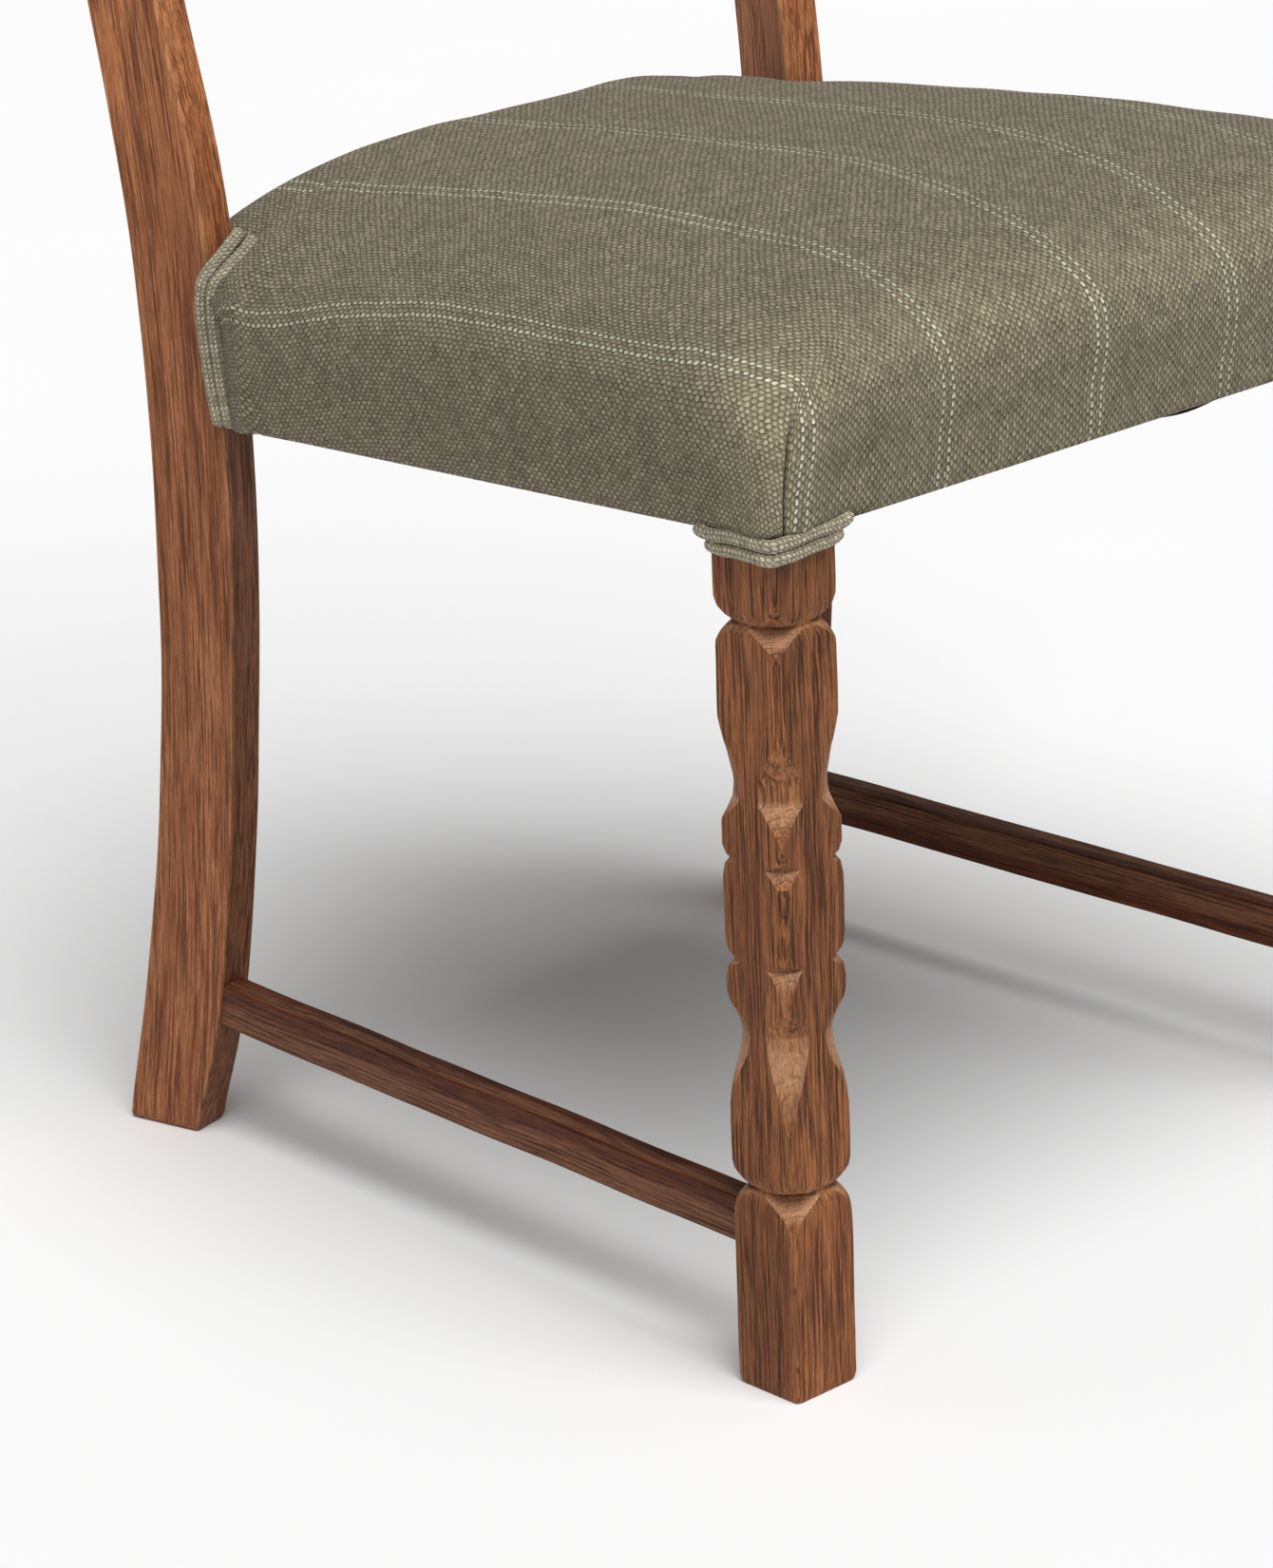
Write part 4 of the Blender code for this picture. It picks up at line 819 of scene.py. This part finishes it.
def cloth_over(rings, heights, slit):
    """Cloth coordinates for the skin: from the crown outwards, as much cloth as the surface is long."""
    levels, count = rings.shape[:2]
    corner_stop = FRONT_COUNT + CORNER_COUNT
    side_stop = corner_stop + SIDE_COUNT + PINCH_COUNT
    turn = np.radians(np.linspace(0, 90, CORNER_COUNT + 2)[1:-1])
    above = np.tile((-1.0, 0.0), (count, 1))
    above[:FRONT_COUNT] = (0, -1)
    above[FRONT_COUNT:corner_stop] = np.column_stack((-np.sin(turn), -np.cos(turn)))
    above[side_stop:] = (0, 1)
    back_turn = np.radians(np.linspace(0, 90, PINCH_COUNT + 21))
    above[side_stop - PINCH_COUNT:side_stop + 21] = np.column_stack((-np.cos(back_turn), np.sin(back_turn)))
    # Below the shoulder the front hangs straight, and the side is dragged round towards the pleat
    distance = np.abs(rings[-1, :, 1] - rings[-1, slit, 1])
    bias = np.radians(38) * np.exp(-distance / (34 * MM))
    below = above.copy()
    below[:slit + 1] = (0, -1)
    below[slit + 1:side_stop] = np.column_stack((-np.cos(bias), -np.sin(bias)))[slit + 1:side_stop]
    cloth = np.zeros((levels, count, 2))
    cloth[0] = rings[0, :, :2]
    for k in range(1, levels):
        share = np.clip((62 * MM - heights[k]) / (22 * MM), 0, 1)
        along = above * (1 - share) + below * share
        along /= np.linalg.norm(along, axis=1)[:, None]
        step = rings[k] - rings[k - 1]
        down = (step[:, :2] * along).sum(1)
        length = np.hypot(down, step[:, 2])
        cloth[k] = cloth[k - 1] + step[:, :2] + along * (length - down)[:, None]
    past = run_past(rings[np.abs(heights - SHOULDER).argmin()], slit)
    bow = smooth(table_at(STRIPE_BOW, past), 7)
    cloth[..., 0] += bow * np.interp(-cloth[..., 0], (130 * MM, 215 * MM), (0, 1))
    return cloth


def both_halves(left, flip):
    """Joins a left half of each ring to its mirror image."""
    return np.concatenate((left, left[:, 1:-1][:, ::-1] * flip), axis=1)


def paint_light_on_cloth(rings):
    """Painted light on the cloth at the front corners and shoulder, and painted shade in the dent in front.
    """
    x, y = np.abs(rings[..., 0]), rings[..., 1]
    height = rings[..., 2] - seat_plane(y)
    off_corner = np.hypot(HALF_WIDE - x, y - FRONT)
    corner = 0.62 * np.exp(-(off_corner / (30 * MM)) ** 2)
    shoulder = 0.32 * np.exp(-((height - 66 * MM) / (17 * MM)) ** 2) * np.exp(-((y - FRONT) / (50 * MM)) ** 2)
    dent_shade = 0.25 * np.exp(-((HALF_WIDE - x - 38 * MM) / (12 * MM)) ** 2 - ((y - FRONT) / (20 * MM)) ** 2)
    return corner + shoulder - dent_shade * np.interp(height, (0, 50 * MM), (1, 0))


def seat_piece():
    """The stuffed seat: cover and filling as one cushion, hollow underneath over the rails."""
    outside = spaced(PROFILE, 2.2 * MM)[::-1]
    heights = outside[:, 1]
    slit = FRONT_COUNT + SLIT_PLACE
    rings = np.array([ring_at(inset, height) for inset, height in outside])
    cloth = cloth_over(rings, heights, slit)
    pleat(rings, heights, slit)
    under = np.array([ring_at(inset, height) for inset, height in spaced(TURNED_UNDER, 4 * MM)])
    tucked = np.repeat(cloth[-1:], len(under), axis=0)
    tucked[:, :, 0] += np.linspace(0, 20, len(under))[:, None] * MM
    rings = both_halves(np.concatenate((rings, under)), (-1, 1, 1))
    cloth = both_halves(np.concatenate((cloth, tucked)), (-1, 1))
    flat = rings.reshape(-1, 3)
    shift = wander(flat, 1.6 * MM, 90 * MM, 4.0) + wander(flat, 0.6 * MM, 28 * MM, 8.0)
    free = np.clip((flat[:, 2] - seat_plane(flat[:, 1]) - 3 * MM) / (20 * MM), 0, 1)
    rings = (flat + shift * free[:, None]).reshape(rings.shape)
    across = np.interp(cloth[..., 0], STRIPES, np.arange(len(STRIPES)) * STRIPE_PERIOD)
    across += STRIPE_APART / 2 + 0.5
    yarns = np.stack((across, cloth[..., 1] / YARN, np.zeros_like(across)), axis=-1)
    # Painted light at the front corners and shoulder, painted shade in the dent beside each corner
    painted_light = paint_light_on_cloth(rings)
    obj = skin("seat_cushion", rings[:, ::-1], False,
               {"weave": yarns[:, ::-1].reshape(-1, 3), "painted_light": painted_light[:, ::-1].ravel()})
    obj.modifiers.new("close the crown and the underside", "WELD").merge_threshold = 0.02 * MM
    return settle(obj, FINISH["tweed"], ["seat_cover", "seat_foam"])


# --- double welts

CORD = 2.95 * MM
REAR_CORD = 3.25 * MM
CORD_SIDES = 16


def cord(name, points, axis, thick, replaced, mirror, seed):
    """A covered cord through a few points, with rounded ends; axis is the line that it faces away from."""
    path = spaced(np.array(points), 1.1 * MM)
    outward = (path - axis) * (1, 1, 0)
    outward /= np.linalg.norm(outward, axis=1)[:, None]
    along = np.gradient(path, axis=0)
    along /= np.linalg.norm(along, axis=1)[:, None]
    side = np.cross(along, outward)
    side /= np.linalg.norm(side, axis=1)[:, None]
    face = np.cross(side, along)
    run = np.concatenate(([0], np.cumsum(np.linalg.norm(np.diff(path, axis=0), axis=1))))
    angles = np.linspace(0, 2 * math.pi, CORD_SIDES, endpoint=False)
    rings, yarns = [], []
    for i, here in enumerate(path):
        lump = noise.noise(Vector((run[i] * 170, seed, 0))) * 0.09
        knot = noise.noise(Vector((run[i] * 480, seed, 4))) * 0.05
        radius = thick * (1 + lump + knot) - end_ease(run[i], run[-1], thick * 0.85)
        rings.append(here + radius * (np.outer(np.cos(angles), side[i]) + np.outer(np.sin(angles), face[i])))
        around = angles * thick
        on_bias = np.column_stack((around + run[i], around - run[i], np.zeros(CORD_SIDES)))
        yarns.append(on_bias / (YARN * 1.15) + (seed, 0, 0))
    rings, yarns = np.array(rings)[:, ::-1], np.array(yarns)[:, ::-1]
    attributes = {"weave": yarns.reshape(-1, 3), "painted_light": np.zeros(rings[..., 0].size)}
    obj = skin(name, rings, True, attributes, mirror)
    return settle(obj, FINISH["cord"], replaced)


def front_welts(side_name, mirror):
    """Two cords round the outer corner of a front leg: they dip at the corner and turn up at their ends."""
    off = LEG_HALF / MM + CORD / MM + 0.2
    cords = (("upper", 1.0, 23.5, 25.0), ("lower", 2.95, 17.0, 19.0))
    for seed, (name, drop, back, across) in enumerate(cords):
        base = -1.4 - drop * CORD / MM
        shape = ((1 - off, back, 3.2), (-off, back - 4, 2.2), (-off, back - 9, 1.2), (-off, 3, 1.4),
                 (-off, -8, 0.6), (-off + 0.4, -off + 6, -0.3), (-off + 2, -off + 2, -0.8),
                 (-off + 6, -off + 0.4, -0.3), (-9, -off, -0.2), (2, -off, 0.7), (across - 9, -off, 0.9),
                 (across - 4, -off, 1.8), (across, 1 - off, 3.2))
        points = []
        for x, y, lift in shape:
            place = LEG_Y + y * MM
            points.append((LEG_X + x * MM, place, seat_plane(place) + (base + lift) * MM))
        cord(f"front_welt_{name}_{side_name}", points, (LEG_X, LEG_Y, 0), CORD,
             [f"front_welt_{side_name}_{name}"], mirror, 3 + seed)


# Middle line of a rear welt's two cords: in from the post's outer face, back from its foot's front corner,
# and up. The last two numbers are how far the cords part to the front and upwards.
REAR_WELT = (
    (-3.3, -46.3, 358.0, 3.2, 0), (-3.3, -44.0, 371, 3.2, 0), (-3.3, -42.2, 384, 3.2, 0),
    (-3.3, -41.0, 396, 3.2, 0), (-3.3, -40.2, 409, 3.2, 0), (-3.3, -40.4, 418, 3.2, 0.4),
    (-3.1, -42.6, 426, 3.1, 1.0), (-1.2, -47.0, 432.0, 3.1, 1.3), (3.5, -49.6, 436.5, 3.5, 1.2),
    (10, -50.4, 440.5, 3.8, 1.2), (16.5, -50.8, 444.5, 3.8, 1.2),
)


def rear_welts(side_name, mirror):
    """Two cords up the post's outer face that turn across its front."""
    foot = INWARD * POST_OUT
    base = reach_at(POST_EDGES, 4 * MM, BACKWARD)[0]
    axis = foot + INWARD * 10 * MM + BACKWARD * (base - 20 * MM)
    for seed, (name, way) in enumerate((("front", -1), ("back", 1))):
        points = [foot + INWARD * x * MM + BACKWARD * (base + (y + way * apart) * MM)
                  + np.array((0, 0, (z + way * lift) * MM)) for x, y, z, apart, lift in REAR_WELT]
        cord(f"rear_welt_{name}_{side_name}", points, axis, REAR_CORD,
             [f"rear_welt_{side_name}_{name}"], mirror, 7 + seed)


# --- dust cover

# Half width of the cambric by distance behind the front legs' middle line: it clears the legs and the posts
CAMBRIC_EDGE = np.array(((-14, 190), (20, 190), (23, 217), (180, 206), (345, 194), (352, 172),
                         (388, 172))) * MM
CAMBRIC_THICKNESS = 0.6 * MM
SAG = 3.5 * MM
SLACK = 3.2 * MM  # the extra sag at the front, and how far right of the middle it lies
SLACK_X = 30 * MM


def dust_cover():
    """Black cambric tacked under the rails. It sags between them, and more where a front tack is missing."""
    rows, columns = 90, 70
    start, end = CAMBRIC_EDGE[0, 0], CAMBRIC_EDGE[-1, 0]
    ys = np.unique(np.concatenate((CAMBRIC_EDGE[:, 0], np.linspace(start, end, rows))))
    points = []
    for y in ys:
        half = table_at(CAMBRIC_EDGE, y)
        for share in np.linspace(-1, 1, columns):
            x = share * half
            inside = (1 - share ** 4) * (1 - (2 * (y - start) / (end - start) - 1) ** 4)
            slack = SLACK * math.exp(-((x - SLACK_X) / (22 * MM)) ** 2 - (y / (40 * MM)) ** 2)
            sag = SAG * max(inside, 0) + slack
            ripple = noise.noise(Vector((x * 24, y * 24, 1.3))) * 0.9 * MM
            points.append((x, y + LEG_Y, seat_plane(y + LEG_Y) - 3.4 * MM - sag + ripple * max(inside, 0)))
    index = np.arange(len(points)).reshape(len(ys), columns)
    faces = np.stack((index[:-1, :-1], index[:-1, 1:], index[1:, 1:], index[1:, :-1]), axis=-1).reshape(-1, 4)
    obj = solid("dust_sheet", points, faces.tolist())
    obj.modifiers.new("cloth", "SOLIDIFY").thickness = CAMBRIC_THICKNESS
    settle(obj, FINISH["cambric"], ["dust_cover"])


def dust_fold(side_name, mirror):
    """The cambric's corner, bunched up in front of the rear post."""
    rings = []
    for turn in np.linspace(0, math.pi, 13):
        ring = []
        for angle in np.linspace(0, 2 * math.pi, 18, endpoint=False):
            level = math.sin(turn)
            way = Vector((level * math.cos(angle), level * math.sin(angle), -math.cos(turn)))
            crumple = 1 + 0.35 * noise.noise(way * 2.3) + 0.12 * math.sin(angle * 5)
            ring.append((way.x * 2.6 * crumple, way.y * 3.6 * crumple, way.z * 2.6 * crumple))
        rings.append(ring)
    centre = np.array((*(POST_CORNER + (18 * MM, -2 * MM)), 0))
    centre[2] = seat_plane(centre[1]) - 3.6 * MM
    obj = skin(f"dust_fold_{side_name}", np.array(rings) * MM + centre, False, None, mirror)
    obj.modifiers.new("close the ends", "WELD").merge_threshold = 0.02 * MM
    settle(obj, FINISH["cambric"])


# --- the room

def soft_sun(name, direction, spread, strength):
    """An even, far light whose width in degrees softens its shadows."""
    data = bpy.data.lights.new(name, "SUN")
    data.energy = strength
    data.angle = math.radians(spread)
    obj = bpy.data.objects.new(name, data)
    obj.rotation_euler = Vector(direction).to_track_quat("-Z", "Y").to_euler()
    bpy.context.scene.collection.objects.link(obj)


FLOOR_HALF = 12.0


def room():
    """A plain pale floor, a white sky and one broad soft light."""
    corners = [(x * FLOOR_HALF, y * FLOOR_HALF, 0) for x, y in ((-1, -1), (1, -1), (1, 1), (-1, 1))]
    floor = solid("floor", corners, [[0, 1, 2, 3]])
    made, tree, shader = new_material("floor", roughness=0.9, specular=0.1)
    x, y, z = coordinates(tree)
    mottle = cloud(tree, vector(tree, x * 3, y * 3, z), detail=2.0)
    colour = blend(tree, mottle, (0.93, 0.93, 0.93), (0.95, 0.95, 0.95))
    tree.links.new(colour.socket, shader.inputs["Base Color"])
    floor.data.materials.append(made)
    world = bpy.data.worlds.new("studio")
    world.use_nodes = True
    sky = world.node_tree.nodes["Background"]
    sky.inputs["Color"].default_value = (1, 1, 1, 1)
    sky.inputs["Strength"].default_value = 0.25
    bpy.context.scene.world = world
    soft_sun("key", (0.15, 0.42, -0.89), 46, 2.8)
    bpy.context.scene.view_settings.view_transform = "Standard"


CAMERA_PLACE = (-1.78916, -1.84344, 1.07111)
CAMERA_TURN = (42.966, 19.472, -2.268)  # yaw from +Y towards +X, pitch down and roll, in degrees
LENS = 132.31


def camera():
    yaw, pitch, roll = (math.radians(angle) for angle in CAMERA_TURN)
    ahead = Vector((math.sin(yaw) * math.cos(pitch), math.cos(yaw) * math.cos(pitch), -math.sin(pitch)))
    level = Vector((math.cos(yaw), -math.sin(yaw), 0))
    above = Vector((math.sin(yaw) * math.sin(pitch), math.cos(yaw) * math.sin(pitch), math.cos(pitch)))
    right = level * math.cos(roll) + above * math.sin(roll)
    up = above * math.cos(roll) - level * math.sin(roll)
    data = bpy.data.cameras.new("camera")
    data.lens = LENS
    data.clip_end = 50
    obj = bpy.data.objects.new("camera", data)
    place = Matrix((right, up, -ahead)).transposed().to_4x4()
    place.translation = CAMERA_PLACE
    obj.matrix_world = place
    bpy.context.scene.collection.objects.link(obj)
    bpy.context.scene.camera = obj


# --- putting it together

FINISH = {
    "leg": oak("oak_legs", (0.375, 0.134, 0.042), (0.24, 0.077, 0.022), (0.04, 0.011, 0.003)),
    "post": oak("oak_posts", (0.44, 0.172, 0.068), (0.33, 0.116, 0.043), (0.11, 0.033, 0.013),
                tilt=(0.5, 0.86), spacing=2.6 * MM),
    "stretcher": oak("oak_stretchers", (0.15, 0.037, 0.01), (0.098, 0.022, 0.006), (0.028, 0.007, 0.002),
                     tilt=(0.3, 0.95), spacing=2.4 * MM),
    "slat": oak("oak_slats", (0.44, 0.172, 0.068), (0.33, 0.116, 0.043), (0.11, 0.033, 0.013), None),
    "tweed": weave("tweed", (0.33, 0.298, 0.197), (0.165, 0.134, 0.08), (0.03, 0.024, 0.014),
                   (0.62, 0.63, 0.48)),
    "cord": weave("tweed_cord", (0.62, 0.56, 0.41), (0.33, 0.28, 0.19), (0.025, 0.02, 0.012)),
    "frame_wood": plain_wood("frame_beech", (0.5, 0.34, 0.18), (0.38, 0.23, 0.11)),
    "jute": threads("jute_cloth", (0.42, 0.31, 0.17), (0.2, 0.13, 0.06), 1.4 * MM),
    "cambric": threads("black_cambric", (0.03, 0.03, 0.032), (0.008, 0.008, 0.009), 0.5 * MM),
    "steel": steel("zinc_steel"),
}


def carry_over():
    """New materials for the CAD nodes that stay, with softened edges on the slats."""
    kinds = (("slat", ("crest_rail", "lower_slat", "middle_slat")), ("jute", ("webbing", "hessian")),
             ("steel", ("front_block_screw", "rear_block_screw")), ("frame_wood", ("",)))
    for name, node in NODES.items():
        if node.hide_render:
            continue
        kind = next(kind for kind, starts in kinds if name.startswith(starts))
        node.data.materials.clear()
        node.data.materials.append(FINISH[kind])
        if kind == "slat":
            node.modifiers.new("join", "WELD").merge_threshold = 0.01 * MM
            rounding = node.modifiers.new("arris", "BEVEL")
            rounding.width = 2.4 * MM
            rounding.segments = 4
            rounding.angle_limit = math.radians(40)


for number, (side, flipped) in enumerate((("left", False), ("right", True))):
    front_leg(side, flipped, 1.0 + number)
    rear_post(side, flipped, 3.0 + number)
    stretcher(side, flipped, 5.0 + number)
    front_welts(side, flipped)
    rear_welts(side, flipped)
    dust_fold(side, flipped)
cushion = seat_piece()
dust_cover()
carry_over()
room()
camera()
